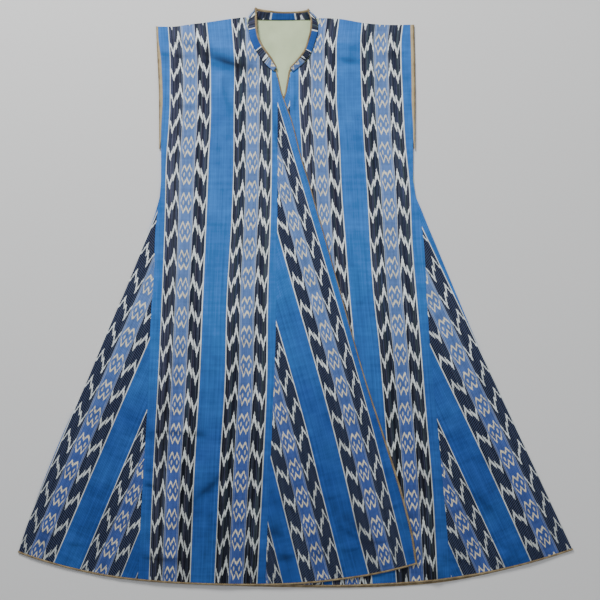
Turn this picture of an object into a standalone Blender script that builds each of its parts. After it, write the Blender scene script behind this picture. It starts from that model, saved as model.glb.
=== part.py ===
"""A sleeveless caftan of striped ikat, laid flat and face up.

The garment is 1.31 m long and 1.25 m wide at the hem.  It lies on its back
panel, with the collar towards +Y and the wearer's right side at -X.  The
wearer's right front laps over the left one.

Every place on the garment is given as "across" (metres from the middle of the
hem, + to the wearer's left) and "drop" (metres down from the top of the
collar).  The tables below give both in millimetres.
"""
import bisect
import math

import bmesh
import bpy
from mathutils import Vector

MM = 0.001

# Driving sizes
LENGTH = 1.3065
HALF_LENGTH = LENGTH / 2
WALL = 0.0012
LINING_WALL = 0.0010
COLLAR_WALL = 0.0016
COLLAR_HEIGHT = 0.020
SEAM_GAP = 0.0003
HEM_GAP = 0.0006
LAYER_GAP = 0.0008
BRAID_WIDTH = 0.0040
BRAID_WALL = 0.0014
BACK_BRAID_WALL = 0.0009

# The front lies a little off the back between the outer edges
LOFT = 0.0016
LOFT_REACH = 0.045
HEM_REACH = 0.060

# The right front climbs onto the hidden underlap over this stretch
CLIMB_START = 0.060
CLIMB_END = 0.025

# Left folds stop this far from the right front's edge
FOLD_CLEAR = 0.010
FOLD_FADE = 0.030

# Faces across each wall, and rows of faces between the drops below
FRONT_COLUMNS = 12
FRONT_GORE_COLUMNS = 11
HIDDEN_GORE_COLUMNS = 5
SIDE_GORE_COLUMNS = 7
BACK_COLUMNS = 16
BACK_GORE_COLUMNS = 3
LINING_COLUMNS = 6
LINING_ROWS = 12
HEM_COLUMNS = 40
COLLAR_COLUMNS = 2
EDGE_ROWS = 3
NECK_ROWS = 11
ARMHOLE_ROWS = 5
CHEST_ROWS = 4
SKIRT_ROWS = 26
BACK_NECK_ROWS = 4
BACK_ARMHOLE_ROWS = 3
BACK_CHEST_ROWS = 3
BACK_SKIRT_ROWS = 14
FITTING_PASSES = 4

# Drops where a piece begins or ends
EDGE_BRAID_TOP = 0.135
FRONT_GORE_TOP = 0.158
ARMHOLE_END = 0.318
ARMPIT_DROP = 0.423
SIDE_GORE_TOP = 0.460
LINING_TOP = 0.031
LINING_END = 0.222

# Where the hem's braids begin and end across the garment
RIGHT_CORNER = -0.6244
LEFT_CORNER = 0.6244
OVER_CORNER = 0.2734
UNDER_CORNER = -0.262

# Columns: drop, across.  Edge of the right half: armhole, then the gore's outer edge
RIGHT_OUTLINE = (
    (42, -309.5), (106, -307), (201, -303), (390, -302.5), (423, -305), (444, -309),
    (471, -318), (525, -338), (633, -381), (741, -428), (849, -472), (957, -522),
    (1065, -566), (1173, -606), (1229, -624.4), (1300, -648),
)
# Columns: drop, across.  Right side seam, from the armpit to the hem
RIGHT_SIDE_SEAM = (
    (423, -305), (488, -314), (592, -318), (684, -324.5), (905, -333.5), (1046, -342),
    (1285, -354.5), (1300, -355),
)
# Columns: drop, across.  Edge of the left half
LEFT_OUTLINE = (
    (38, 262.5), (120, 264.5), (201, 265.5), (336, 264.5), (390, 264.5), (423, 271),
    (444, 279), (471, 289), (525, 311.5), (633, 356.5), (741, 402), (849, 451),
    (957, 502), (1065, 551), (1173, 601), (1222, 624.4), (1300, 659),
)
# Columns: drop, across.  Left side seam
LEFT_SIDE_SEAM = (
    (423, 270), (490, 283.5), (668, 296), (763, 302.5), (925, 318), (1184, 341.5),
    (1296, 351), (1310, 352),
)
# Columns: drop, across.  Right front's neckline, then its seam with the front gore
RIGHT_FRONT_INNER = (
    (22, -111), (34, -109.5), (53, -106), (72, -102), (94, -92), (111, -80), (129, -68),
    (138, -58), (147, -44), (198, -40.5), (704, -44), (1157, -62.5), (1300, -68),
)
# Columns: drop, across.  Left front's neckline, then its hidden seam
LEFT_FRONT_INNER = (
    (22, 53), (34, 52), (54, 51.5), (81, 45), (108, 34.5), (128, 18), (138, 4),
    (147, -12), (216, -12.4), (490, 10.5), (900, 37), (1310, 65),
)
# Columns: drop, across.  The right front's free edge, outside its braid
OVER_EDGE = (
    (130, -43), (137, -41.6), (164, -35), (203, -26), (239, -11), (284, 2), (336, 14.6), (393, 33),
    (441, 46), (518, 68.6), (596, 91), (754, 135), (844, 161), (978, 204), (1112, 245),
    (1189, 264), (1251, 273.4), (1300, 281),
)
# Columns: across, drop.  Shoulder line with the back of the neck
BACK_TOP = (
    (-320, 43), (-282, 44), (-231, 38), (-199, 34), (-145, 26), (-109, 22.5), (-92, 26.5),
    (-26, 29), (38, 27.5), (53, 24.5), (96, 26), (150, 35), (213, 40), (270, 39),
)
# Columns: across, drop.  The back's hem, outside its braid
BACK_HEM = (
    (-640, 1222), (-624.4, 1228), (-534, 1257), (-408, 1284), (-282, 1296), (-156, 1302),
    (96, 1306.5), (222, 1303.5), (348, 1292), (474, 1266), (600, 1230), (624.4, 1222),
    (640, 1216.5),
)
# Columns: across, drop.  The hem of the right side gore, front and front gore
OVER_HEM = (
    (-640, 1222), (-624.4, 1228), (-534, 1257), (-408, 1284), (-282, 1296), (-156, 1301),
    (-93, 1301.5), (10, 1298), (109, 1287.5), (171, 1278), (226, 1266), (274, 1253),
    (300, 1244),
)
# Columns: across, drop.  The hem of the left front gore, front and side gore
UNDER_HEM = (
    (-300, 1290), (-100, 1300), (79, 1304.5), (170, 1302), (258, 1297), (348, 1287.5),
    (474, 1265), (600, 1230), (624.4, 1222), (640, 1216.5),
)
# Columns: drop, left across, right across.  The lining that shows in the neck
LINING_SIDES = (
    (28, -96, 43), (53, -103, 48), (72, -99, 45), (94, -89, 38), (111, -77, 30),
    (129, -66, 15), (147, -56, 6), (230, -45, -8),
)

# Columns: start across, start drop, end across, end drop, half width, height.
# A height above zero is a ridge, one below zero is a trough.
RIGHT_FOLDS = (
    (-226, 82, -140, 98, 14, 2.6),
    (-230, 115, -125, 137, 12, -1.6),
    (-168, 160, -150, 240, 16, 1.8),
    (-300, 930, -215, 935, 13, 2.2),
    (-318, 962, -215, 962, 12, -1.6),
    (-262, 1085, -180, 1005, 15, 3.4),
    (-232, 1110, -160, 1024, 12, -1.6),
    (-300, 1128, -236, 1116, 15, 2.2),
    (-170, 600, -150, 860, 26, 1.2),
    (-500, 1030, -440, 1150, 22, 1.8),
    (-420, 880, -370, 1040, 24, 1.5),
    (78, 1180, 150, 1228, 14, 2.6),
    (112, 1128, 176, 1176, 14, 2.4),
    (20, 880, 120, 1090, 26, 1.6),
)
LEFT_FOLDS = (
    (86, 82, 150, 86, 13, 2.4),
    (84, 114, 150, 122, 12, -1.6),
    (160, 480, 196, 690, 16, 2.4),
    (236, 900, 262, 1090, 18, 1.8),
    (352, 1020, 440, 1110, 16, 2.4),
    (385, 1010, 472, 1096, 12, -1.4),
    (300, 1215, 338, 1262, 14, 2.4),
    (470, 1120, 540, 1215, 18, 1.8),
)

# Columns: lower across, lower drop, lower height, upper across, upper drop, upper height.
# The collar from the end of the right front round the back of the neck to the left front.
COLLAR_SECTIONS = (
    (-53, 141, 7.0, -44, 131, 9.0),
    (-66, 130, 6.0, -54, 114, 9.8),
    (-79, 113, 5.5, -65, 99, 10.3),
    (-91, 95, 5.5, -75, 84, 10.4),
    (-101, 73, 5.5, -83, 65, 10.4),
    (-105, 53, 5.4, -86, 49, 10.2),
    (-107.5, 36, 5.2, -87, 29, 9.6),
    (-104, 24, 4.8, -88, 2.6, 8.6),
    (-105.5, 22.5, 3.4, -90, 0.2, 7.2),
    (-104, 24, 2.1, -88, 2.2, 5.9),
    (-88, 27.6, 2.5, -79, 4.8, 6.2),
    (-57, 28.4, 2.5, -53, 8.8, 6.8),
    (-26, 28.8, 2.5, -26, 11, 7.0),
    (5.6, 28.4, 2.5, 1, 10.2, 6.8),
    (32, 27.6, 2.5, 20, 8, 6.2),
    (46, 25, 2.1, 27, 5.5, 5.9),
    (47.5, 23.5, 3.4, 29, 3.5, 7.2),
    (46, 25, 4.8, 27, 6, 8.6),
    (50, 37, 5.2, 34, 30, 9.6),
    (50, 54, 5.4, 33, 51, 10.2),
    (43, 81, 5.5, 27, 75, 10.4),
    (33, 107, 5.5, 18, 99, 10.4),
    (17, 127, 5.5, 4.5, 117, 9.8),
    (1, 140, 5.4, -8, 130, 8.2),
)


def line_through(rows):
    """Give a function that reads a smooth line through rows of key and value."""
    ordered = sorted(rows)
    keys = [row[0] for row in ordered]
    values = [row[1] for row in ordered]
    widths = [after - before for before, after in zip(keys, keys[1:])]
    rises = [after - before for before, after in zip(values, values[1:])]
    steps = [rise / width for rise, width in zip(rises, widths)]
    slopes = [steps[0]]
    for i in range(1, len(steps)):
        before, after = steps[i - 1], steps[i]
        even = (widths[i] * before + widths[i - 1] * after) / (widths[i - 1] + widths[i])
        steepest = 3 * min(abs(before), abs(after))
        turns = before * after <= 0
        slopes.append(0 if turns else math.copysign(min(abs(even), steepest), even))
    slopes.append(steps[-1])

    def read(key):
        i = min(max(bisect.bisect_right(keys, key) - 1, 0), len(keys) - 2)
        width = keys[i + 1] - keys[i]
        t = min(max((key - keys[i]) / width, 0), 1)
        start = values[i] * (1 + 2 * t) + slopes[i] * width * t
        end = values[i + 1] * (3 - 2 * t) - slopes[i + 1] * width * (1 - t)
        return start * (1 - t) ** 2 + end * t ** 2

    return read


def line_in_mm(rows):
    """Give a smooth line whose rows are in millimetres as a function in metres."""
    return line_through([(key * MM, value * MM) for key, value in rows])


right_outline = line_in_mm(RIGHT_OUTLINE)
left_outline = line_in_mm(LEFT_OUTLINE)
right_side_seam = line_in_mm(RIGHT_SIDE_SEAM)
left_side_seam = line_in_mm(LEFT_SIDE_SEAM)
right_front_inner = line_in_mm(RIGHT_FRONT_INNER)
left_front_inner = line_in_mm(LEFT_FRONT_INNER)
over_edge = line_in_mm(OVER_EDGE)
back_top = line_in_mm(BACK_TOP)
back_hem = line_in_mm(BACK_HEM)
over_hem = line_in_mm(OVER_HEM)
under_hem = line_in_mm(UNDER_HEM)


def right_body_edge(drop):
    """The right armhole and, below the armpit, the right side seam."""
    return right_outline(drop) if drop < ARMPIT_DROP else right_side_seam(drop)


def left_body_edge(drop):
    """The left armhole and, below the armpit, the left side seam."""
    return left_outline(drop) if drop < ARMPIT_DROP else left_side_seam(drop)


def under_edge(drop):
    """The left front's free edge: its gore is as wide as the right front's."""
    gore_width = over_edge(drop) - right_front_inner(drop)
    return left_front_inner(drop) - gore_width


def ease(share):
    """Rise smoothly from 0 to 1."""
    t = min(max(share, 0), 1)
    return t * t * (3 - 2 * t)


def pillow(distance, reach):
    """Rise steeply at an edge and level out after the reach."""
    t = min(max(distance / reach, 0), 1)
    return 1 - (1 - t) ** 2


def loft(across, drop):
    """How far the front stands off the back, nothing at the outer edges."""
    side = min(across - right_outline(drop), left_outline(drop) - across)
    from_sides = pillow(side, LOFT_REACH)
    from_shoulder = pillow(drop - back_top(across), LOFT_REACH)
    from_hem = pillow(back_hem(across) - drop, HEM_REACH)
    return LOFT * from_sides * from_shoulder * from_hem


def folds(rows, across, drop):
    """Add up the ridges and troughs near a place."""
    total = 0
    place = Vector((across, drop))
    for start_across, start_drop, end_across, end_drop, half_width, height in rows:
        start = Vector((start_across, start_drop)) * MM
        run = Vector((end_across, end_drop)) * MM - start
        along = min(max((place - start).dot(run) / run.length_squared, 0), 1)
        distance = (place - start - run * along).length
        total += height * MM * math.exp(-(distance / (half_width * MM)) ** 2)
    return total


def under_plain(across, drop):
    """Underside of the left front without its folds."""
    return WALL + SEAM_GAP + loft(across, drop)


def under_height(across, drop):
    """Underside of the left front, whose folds stop at the right front's edge."""
    shown = ease((across - over_edge(drop) - FOLD_CLEAR) / FOLD_FADE)
    folded = under_plain(across, drop) + shown * folds(LEFT_FOLDS, across, drop)
    return max(folded, WALL + SEAM_GAP)


def over_height(across, drop):
    """Underside of the right front, lifted where the underlap lies below it."""
    beyond = across - (under_edge(drop) - CLIMB_START)
    lift = ease(beyond / (CLIMB_START - CLIMB_END)) * (WALL + LAYER_GAP)
    lowest = WALL + SEAM_GAP
    if lift > 0:
        lowest = under_plain(across, drop) + lift
    folded = under_plain(across, drop) + lift + folds(RIGHT_FOLDS, across, drop)
    return max(folded, lowest)


def back_height(across, drop):
    """The back lies flat on the surface."""
    return 0


def lining_height(across, drop):
    """The lining lies on the back."""
    return WALL + SEAM_GAP


def back_braid_height(across, drop):
    """The back's braid is level with the top of its cloth."""
    return WALL - BACK_BRAID_WALL


def make_material(name, colour, roughness):
    """A plain Principled finish."""
    material = bpy.data.materials.new(name)
    material.use_nodes = True
    shader = material.node_tree.nodes["Principled BSDF"]
    shader.inputs["Base Color"].default_value = (*colour, 1)
    shader.inputs["Roughness"].default_value = roughness
    shader.inputs["Metallic"].default_value = 0
    return material


def add_object(name, bm, finish):
    """Turn a bmesh into a named object with its own material."""
    colour, roughness = finish
    mesh = bpy.data.meshes.new(name)
    bm.to_mesh(mesh)
    bm.free()
    mesh.materials.append(make_material(name, colour, roughness))
    piece = bpy.data.objects.new(name, mesh)
    bpy.context.scene.collection.objects.link(piece)
    return piece


def rows_between(levels):
    """List a wall's rows, each as two levels and its share of the way down.

    Each level is a line across the garment and the number of rows below it.
    """
    rows = []
    for (upper, count), (lower, _) in zip(levels, levels[1:]):
        rows += [(upper, lower, i / count) for i in range(count)]
    lowest = levels[-1][0]
    rows.append((lowest, lowest, 0))
    return rows


def cloth_wall(name, finish, left, right, levels, height, columns, wall):
    """A wall of cloth between a left and a right edge, in rows down its levels.

    The edges read an across from a drop, the levels read a drop from an
    across, and height reads the underside from both.
    """
    rows = rows_between(levels)
    steps = len(rows) - 1
    bm = bmesh.new()
    bmesh.ops.create_grid(bm, x_segments=columns, y_segments=steps, size=0.5)
    for vertex in bm.verts:
        share = vertex.co.x + 0.5
        upper, lower, part = rows[round((0.5 - vertex.co.y) * steps)]
        drop = upper(0)
        for _ in range(FITTING_PASSES):
            across = left(drop) + share * (right(drop) - left(drop))
            drop = upper(across) + part * (lower(across) - upper(across))
        vertex.co = (across, HALF_LENGTH - drop, height(across, drop) + wall)
    shown = bm.faces[:]
    bmesh.ops.recalc_face_normals(bm, faces=shown)
    result = bmesh.ops.extrude_face_region(bm, geom=shown, use_keep_orig=True)
    moved = [item for item in result["geom"] if isinstance(item, bmesh.types.BMVert)]
    bmesh.ops.translate(bm, verts=moved, vec=(0, 0, -wall))
    bmesh.ops.recalc_face_normals(bm, faces=bm.faces[:])
    return add_object(name, bm, finish)


def shift(line, distance):
    """The same edge, moved by a distance."""
    return lambda key: line(key) + distance


def level(value):
    """An edge at one place."""
    return lambda key: value


def cut_short(hem):
    """The cloth stops short of its hem, where the braid is sewn on."""
    return shift(hem, -BRAID_WIDTH - HEM_GAP)


def side_gore_levels(hem, rows=SKIRT_ROWS):
    """Rows of a side gore."""
    return (level(SIDE_GORE_TOP), rows), (cut_short(hem), 0)


def front_gore_levels(hem):
    """Rows of a front gore, which meet those of its front."""
    upper = (level(FRONT_GORE_TOP), ARMHOLE_ROWS), (level(ARMHOLE_END), CHEST_ROWS)
    return upper + side_gore_levels(hem)


def front_levels(hem):
    """Rows of a front, closer together beside the neckline."""
    return ((back_top, NECK_ROWS),) + front_gore_levels(hem)


def back_levels():
    """Rows of the back above its side gores."""
    return ((back_top, BACK_NECK_ROWS), (level(FRONT_GORE_TOP), BACK_ARMHOLE_ROWS),
            (level(ARMHOLE_END), BACK_CHEST_ROWS))


# Finishes: base colour and roughness
IKAT = ((0.075, 0.165, 0.36), 0.65)
COLLAR_IKAT = ((0.085, 0.175, 0.37), 0.65)
LINING = ((0.52, 0.55, 0.47), 0.85)
BRAID = ((0.30, 0.19, 0.08), 0.7)


def make_back():
    """The back panel and its two side gores, flat on the surface."""
    gore = side_gore_levels(back_hem, BACK_SKIRT_ROWS)
    right_seam = shift(right_side_seam, -SEAM_GAP)
    left_seam = shift(left_side_seam, SEAM_GAP)
    cloth_wall("back_panel", IKAT, right_body_edge, left_body_edge,
               back_levels() + gore, back_height, BACK_COLUMNS, WALL)
    cloth_wall("back_gore_right", IKAT, right_outline, right_seam, gore, back_height,
               BACK_GORE_COLUMNS, WALL)
    cloth_wall("back_gore_left", IKAT, left_seam, left_outline, gore, back_height,
               BACK_GORE_COLUMNS, WALL)


def make_lining():
    """The off-white lining inside the neck, on the back panel."""
    left_side = line_in_mm([(drop, left) for drop, left, right in LINING_SIDES])
    right_side = line_in_mm([(drop, right) for drop, left, right in LINING_SIDES])
    levels = (level(LINING_TOP), LINING_ROWS), (level(LINING_END), 0)
    cloth_wall("neck_lining", LINING, left_side, right_side, levels, lining_height,
               LINING_COLUMNS, LINING_WALL)


def make_left_front():
    """The left front, which lies under the right one, with its two gores."""
    free_edge = shift(under_edge, BRAID_WIDTH + SEAM_GAP)
    gore_seam = shift(left_front_inner, -SEAM_GAP)
    side_seam = shift(left_side_seam, SEAM_GAP)
    cloth_wall("left_front", IKAT, left_front_inner, left_body_edge,
               front_levels(under_hem), under_height, FRONT_COLUMNS, WALL)
    cloth_wall("left_front_gore", IKAT, free_edge, gore_seam,
               front_gore_levels(under_hem), under_height, HIDDEN_GORE_COLUMNS, WALL)
    cloth_wall("left_side_gore", IKAT, side_seam, left_outline,
               side_gore_levels(under_hem), under_height, SIDE_GORE_COLUMNS, WALL)


def make_right_front():
    """The right front, which laps over the left one, with its two gores."""
    free_edge = shift(over_edge, -BRAID_WIDTH - SEAM_GAP)
    gore_seam = shift(right_front_inner, SEAM_GAP)
    side_seam = shift(right_side_seam, -SEAM_GAP)
    cloth_wall("right_front", IKAT, right_body_edge, right_front_inner,
               front_levels(over_hem), over_height, FRONT_COLUMNS, WALL)
    cloth_wall("right_front_gore", IKAT, gore_seam, free_edge,
               front_gore_levels(over_hem), over_height, FRONT_GORE_COLUMNS, WALL)
    cloth_wall("right_side_gore", IKAT, right_outline, side_seam,
               side_gore_levels(over_hem), over_height, SIDE_GORE_COLUMNS, WALL)


def make_collar():
    """The stand collar and the braid along its top edge."""
    braid_share = BRAID_WIDTH / COLLAR_HEIGHT
    gap_share = SEAM_GAP / COLLAR_HEIGHT
    collar_band("collar", COLLAR_IKAT, 0, 1 - braid_share - gap_share,
                COLLAR_COLUMNS)
    collar_band("braid_collar", BRAID, 1 - braid_share, 1, 1)


def collar_lines():
    """Smooth lines for the six columns of the collar's sections."""
    middles = []
    for la, ld, lh, ua, ud, uh in COLLAR_SECTIONS:
        middles.append(Vector((la + ua, ld + ud, lh + uh)) / 2)
    places = [0]
    for before, after in zip(middles, middles[1:]):
        places.append(places[-1] + (after - before).length)
    lines = []
    for column in range(6):
        rows = [(place, row[column] * MM) for place, row in zip(places, COLLAR_SECTIONS)]
        lines.append(line_through(rows))
    return places, lines


def collar_band(name, finish, low_share, high_share, columns, steps=3):
    """A band round the neck between two shares of the collar's height."""
    places, lines = collar_lines()
    stations = []
    for before, after in zip(places, places[1:]):
        stations += [before + (after - before) * i / steps for i in range(steps)]
    stations.append(places[-1])
    bm = bmesh.new()
    rows = len(stations) - 1
    bmesh.ops.create_grid(bm, x_segments=columns, y_segments=rows, size=0.5)
    for vertex in bm.verts:
        share = low_share + (vertex.co.x + 0.5) * (high_share - low_share)
        station = stations[round((0.5 - vertex.co.y) * rows)]
        la, ld, lh, ua, ud, uh = [line(station) for line in lines]
        lower = Vector((la, HALF_LENGTH - ld, lh))
        upper = Vector((ua, HALF_LENGTH - ud, uh))
        vertex.co = lower.lerp(upper, share)
    bmesh.ops.recalc_face_normals(bm, faces=bm.faces[:])
    band = add_object(name, bm, finish)
    thickness = band.modifiers.new("thickness", "SOLIDIFY")
    thickness.thickness = COLLAR_WALL
    thickness.offset = 0
    return band


def make_edge_braids():
    """The braid on the free edges of the two fronts."""
    top = ((level(EDGE_BRAID_TOP), EDGE_ROWS),)
    inside = shift(over_edge, -BRAID_WIDTH)
    cloth_wall("braid_right_front", BRAID, inside, over_edge,
               top + front_gore_levels(over_hem), over_height, 1, BRAID_WALL)
    inside = shift(under_edge, BRAID_WIDTH)
    shown = (level(FRONT_GORE_TOP), ARMHOLE_ROWS), (level(ARMHOLE_END), 0)
    cloth_wall("braid_left_front", BRAID, under_edge, inside, top + shown,
               under_height, 1, WALL)


def make_hem_braids():
    """The braid on the hems of the right half, the left half and the back."""
    hems = (
        ("braid_hem_right", over_hem, RIGHT_CORNER, OVER_CORNER, over_height, BRAID_WALL),
        ("braid_hem_left", under_hem, UNDER_CORNER, LEFT_CORNER, under_height, WALL),
        ("braid_hem_back", back_hem, RIGHT_CORNER, LEFT_CORNER, back_braid_height,
         BACK_BRAID_WALL),
    )
    for name, hem, start, end, height, wall in hems:
        levels = (shift(hem, -BRAID_WIDTH), 1), (hem, 0)
        cloth_wall(name, BRAID, level(start), level(end), levels, height, HEM_COLUMNS,
                   wall)


def make_armhole_braids():
    """The braid round each armhole, on the front and on the back."""
    out = BRAID_WIDTH + SEAM_GAP
    sides = (
        ("right", shift(right_outline, -out), shift(right_outline, -SEAM_GAP), over_height),
        ("left", shift(left_outline, SEAM_GAP), shift(left_outline, out), under_height),
    )
    end = ((level(ARMHOLE_END), 0),)
    front = ((back_top, NECK_ROWS), (level(FRONT_GORE_TOP), ARMHOLE_ROWS)) + end
    back = back_levels()[:2] + end
    for side, left, right, front_height in sides:
        cloth_wall(f"braid_armhole_{side}_front", BRAID, left, right, front,
                   front_height, 1, BRAID_WALL)
        cloth_wall(f"braid_armhole_{side}_back", BRAID, left, right, back,
                   back_braid_height, 1, BACK_BRAID_WALL)


def build():
    """Clear the scene and make the whole garment."""
    for old in list(bpy.data.objects):
        bpy.data.objects.remove(old)
    make_back()
    make_lining()
    make_left_front()
    make_right_front()
    make_collar()
    make_edge_braids()
    make_hem_braids()
    make_armhole_braids()


build()
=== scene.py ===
# %% [markdown]
# # A sleeveless ikat caftan, laid flat
# The garment lies on its back and is seen straight from above. It is sewn from narrow widths of
# warp-faced ikat: a straight panel for each front, slanted gores that flare the skirt, a stand
# collar cut across the stripes, and a narrow plaited braid on every edge.
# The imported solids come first. They fix where each piece lies. This file gives every piece a finer
# surface, its pattern and its finish.

# %% Load the frame
import math

import bmesh
import bpy
import numpy as np
from mathutils import Matrix, Vector, noise
from mathutils.bvhtree import BVHTree


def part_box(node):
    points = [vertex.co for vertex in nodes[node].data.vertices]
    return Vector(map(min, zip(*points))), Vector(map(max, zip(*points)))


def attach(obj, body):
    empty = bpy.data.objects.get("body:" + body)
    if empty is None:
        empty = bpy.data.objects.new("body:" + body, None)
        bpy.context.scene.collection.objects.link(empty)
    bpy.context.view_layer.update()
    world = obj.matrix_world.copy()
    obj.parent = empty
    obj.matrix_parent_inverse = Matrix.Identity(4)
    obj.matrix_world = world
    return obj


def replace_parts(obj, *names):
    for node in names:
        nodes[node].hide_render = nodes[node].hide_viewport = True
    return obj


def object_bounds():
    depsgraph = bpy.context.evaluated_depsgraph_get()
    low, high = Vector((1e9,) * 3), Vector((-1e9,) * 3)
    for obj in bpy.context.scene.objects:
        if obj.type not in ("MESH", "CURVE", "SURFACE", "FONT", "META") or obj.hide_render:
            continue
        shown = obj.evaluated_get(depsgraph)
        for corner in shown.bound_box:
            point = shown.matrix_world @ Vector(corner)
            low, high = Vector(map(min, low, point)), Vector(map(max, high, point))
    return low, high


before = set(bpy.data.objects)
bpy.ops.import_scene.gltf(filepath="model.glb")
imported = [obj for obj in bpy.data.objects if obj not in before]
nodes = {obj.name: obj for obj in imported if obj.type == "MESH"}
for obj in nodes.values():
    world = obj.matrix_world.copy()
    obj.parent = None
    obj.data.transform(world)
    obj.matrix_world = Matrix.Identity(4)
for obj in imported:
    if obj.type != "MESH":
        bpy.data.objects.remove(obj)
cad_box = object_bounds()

MM = 0.001
print("box of the solids", cad_box, "pieces", len(nodes))

# %% [markdown]
# ## Places on the garment
# A tailor measures down from the collar and out from the middle. Here a place is an "across"
# (metres, + to the wearer's left) and a "drop" (metres down from the top of the collar). The hem
# is the lowest point of the solids' box, so the box gives the length.

# %% Measure the length
TOP = -cad_box[0][1]


def point(across, drop, height=0.0):
    """A place on the garment as a point of the scene."""
    return Vector((across, TOP - drop, height))


print(f"length {2 * TOP:.4f} m")

# %% [markdown]
# ## Smooth lines
# Edges, stripes and seams are smooth lines through a few places. A cubic line with limited slopes
# keeps to its places and never swings past them, as a ruler's bent edge would.

# %% A smooth line through rows
def line_through(rows):
    """Give a function that reads a smooth line through rows of key and value."""
    keys, values = (np.array(column, float) for column in zip(*sorted(rows)))
    widths = np.diff(keys)
    steps = np.diff(values) / widths
    slopes = np.concatenate([steps[:1], np.zeros(len(steps) - 1), steps[-1:]])
    for i in range(1, len(steps)):
        before, after = steps[i - 1], steps[i]
        if before * after > 0:
            even = (widths[i] * before + widths[i - 1] * after) / (widths[i - 1] + widths[i])
            steepest = 3 * min(abs(before), abs(after))
            slopes[i] = math.copysign(min(abs(even), steepest), even)

    def read(key):
        i = np.clip(np.searchsorted(keys, key, side="right") - 1, 0, len(keys) - 2)
        t = (key - keys[i]) / widths[i]
        inner = np.clip(t, 0, 1)
        start = values[i] * (1 + 2 * inner) + slopes[i] * widths[i] * inner
        end = values[i + 1] * (3 - 2 * inner) - slopes[i + 1] * widths[i] * (1 - inner)
        before = slopes[i] * widths[i] * np.minimum(t, 0)
        after = slopes[i + 1] * widths[i] * np.maximum(t - 1, 0)
        return start * (1 - inner) ** 2 + end * inner ** 2 + before + after

    return read


def lines_in_mm(rows):
    """Give one smooth line for each column after the first, in metres."""
    return [line_through([(row[0] * MM, row[i] * MM) for row in rows])
            for i in range(1, len(rows[0]))]


print("a line through 0, 1 and 3, halfway to the 1:", line_through([(0, 0), (1, 1), (2, 3)])(0.5))

# %% [markdown]
# ## Read the cut pieces from the solids
# Every panel keeps the outline of its solid. The mesh is cut by lines across and lines down, as
# with a ruler laid on a paper pattern, and the ends of each cut give the edges. The four corners
# say where one edge ends and the next begins.

# %% Edges of a solid
READ_STEP = 0.002
HAIR = 1e-6


class Outline:
    """The four edges of a solid, read from its mesh."""

    def __init__(self, name):
        mesh = nodes[name].data
        places = np.array([vertex.co[:2] for vertex in mesh.vertices])
        places[:, 1] = TOP - places[:, 1]
        pairs = np.array([edge.vertices[:] for edge in mesh.edges])
        self.starts, self.ends = places[pairs[:, 0]], places[pairs[:, 1]]
        corner = {(a, d): places[np.argmax(places @ (a, d))] for a in (-1, 1) for d in (-1, 1)}
        self.top_left, self.top_right = corner[-1, -1], corner[1, -1]
        self.low_left, self.low_right = corner[-1, 1], corner[1, 1]
        self.left = self.edge(1, self.top_left, self.low_left, min)
        self.right = self.edge(1, self.top_right, self.low_right, max)
        self.top = self.edge(0, self.top_left, self.top_right, min)
        self.hem = self.edge(0, self.low_left, self.low_right, max)

    def edge(self, axis, start, end, pick):
        """Read one edge between two corners, against across (0) or drop (1)."""
        low, high = sorted((start[axis], end[axis]))
        keys = np.linspace(low, high, max(2, int((high - low) / READ_STEP)))
        a, b = self.starts, self.ends
        found = []
        for key in keys:
            inner = np.clip(key, low + HAIR, high - HAIR)
            cut = (a[:, axis] - inner) * (b[:, axis] - inner) < 0
            t = (inner - a[cut, axis]) / (b[cut, axis] - a[cut, axis])
            other = a[cut, 1 - axis] + t * (b[cut, 1 - axis] - a[cut, 1 - axis])
            found.append(pick(other) if len(other) else start[1 - axis])
        found = np.array(found)
        return lambda key: np.interp(key, keys, found)


back_cut = Outline("back_panel")
print("back's hem:", np.round(back_cut.low_left, 3), "to", np.round(back_cut.low_right, 3))

# %% [markdown]
# ## Read how high each layer lies
# The solids are made of flat faces a few centimetres wide. A fine cloth that copied them would
# look cut from card, so each layer's height is read on a raster from above, and blurred by a
# centimetre. One raster for a whole layer keeps neighbouring panels level at their seam.

# %% Height of a layer
RASTER = 0.006
BLUR = 0.009
MARGIN = 0.02
RAY_START = 1.0
KNOWN_SHARE = 1e-3
GROWING_PASSES = 6


def blurred(values, known):
    """Blur a raster along both axes, leaving out the cells that aren't known."""
    reach = int(3 * BLUR / RASTER)
    weights = np.exp(-0.5 * (np.arange(-reach, reach + 1) * RASTER / BLUR) ** 2)
    total, share = np.where(known, values, 0.0), known.astype(float)
    for _ in range(2):
        total = np.array([np.convolve(row, weights, "same") for row in total]).T
        share = np.array([np.convolve(row, weights, "same") for row in share]).T
    return total / np.maximum(share, 1e-9), share


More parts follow.
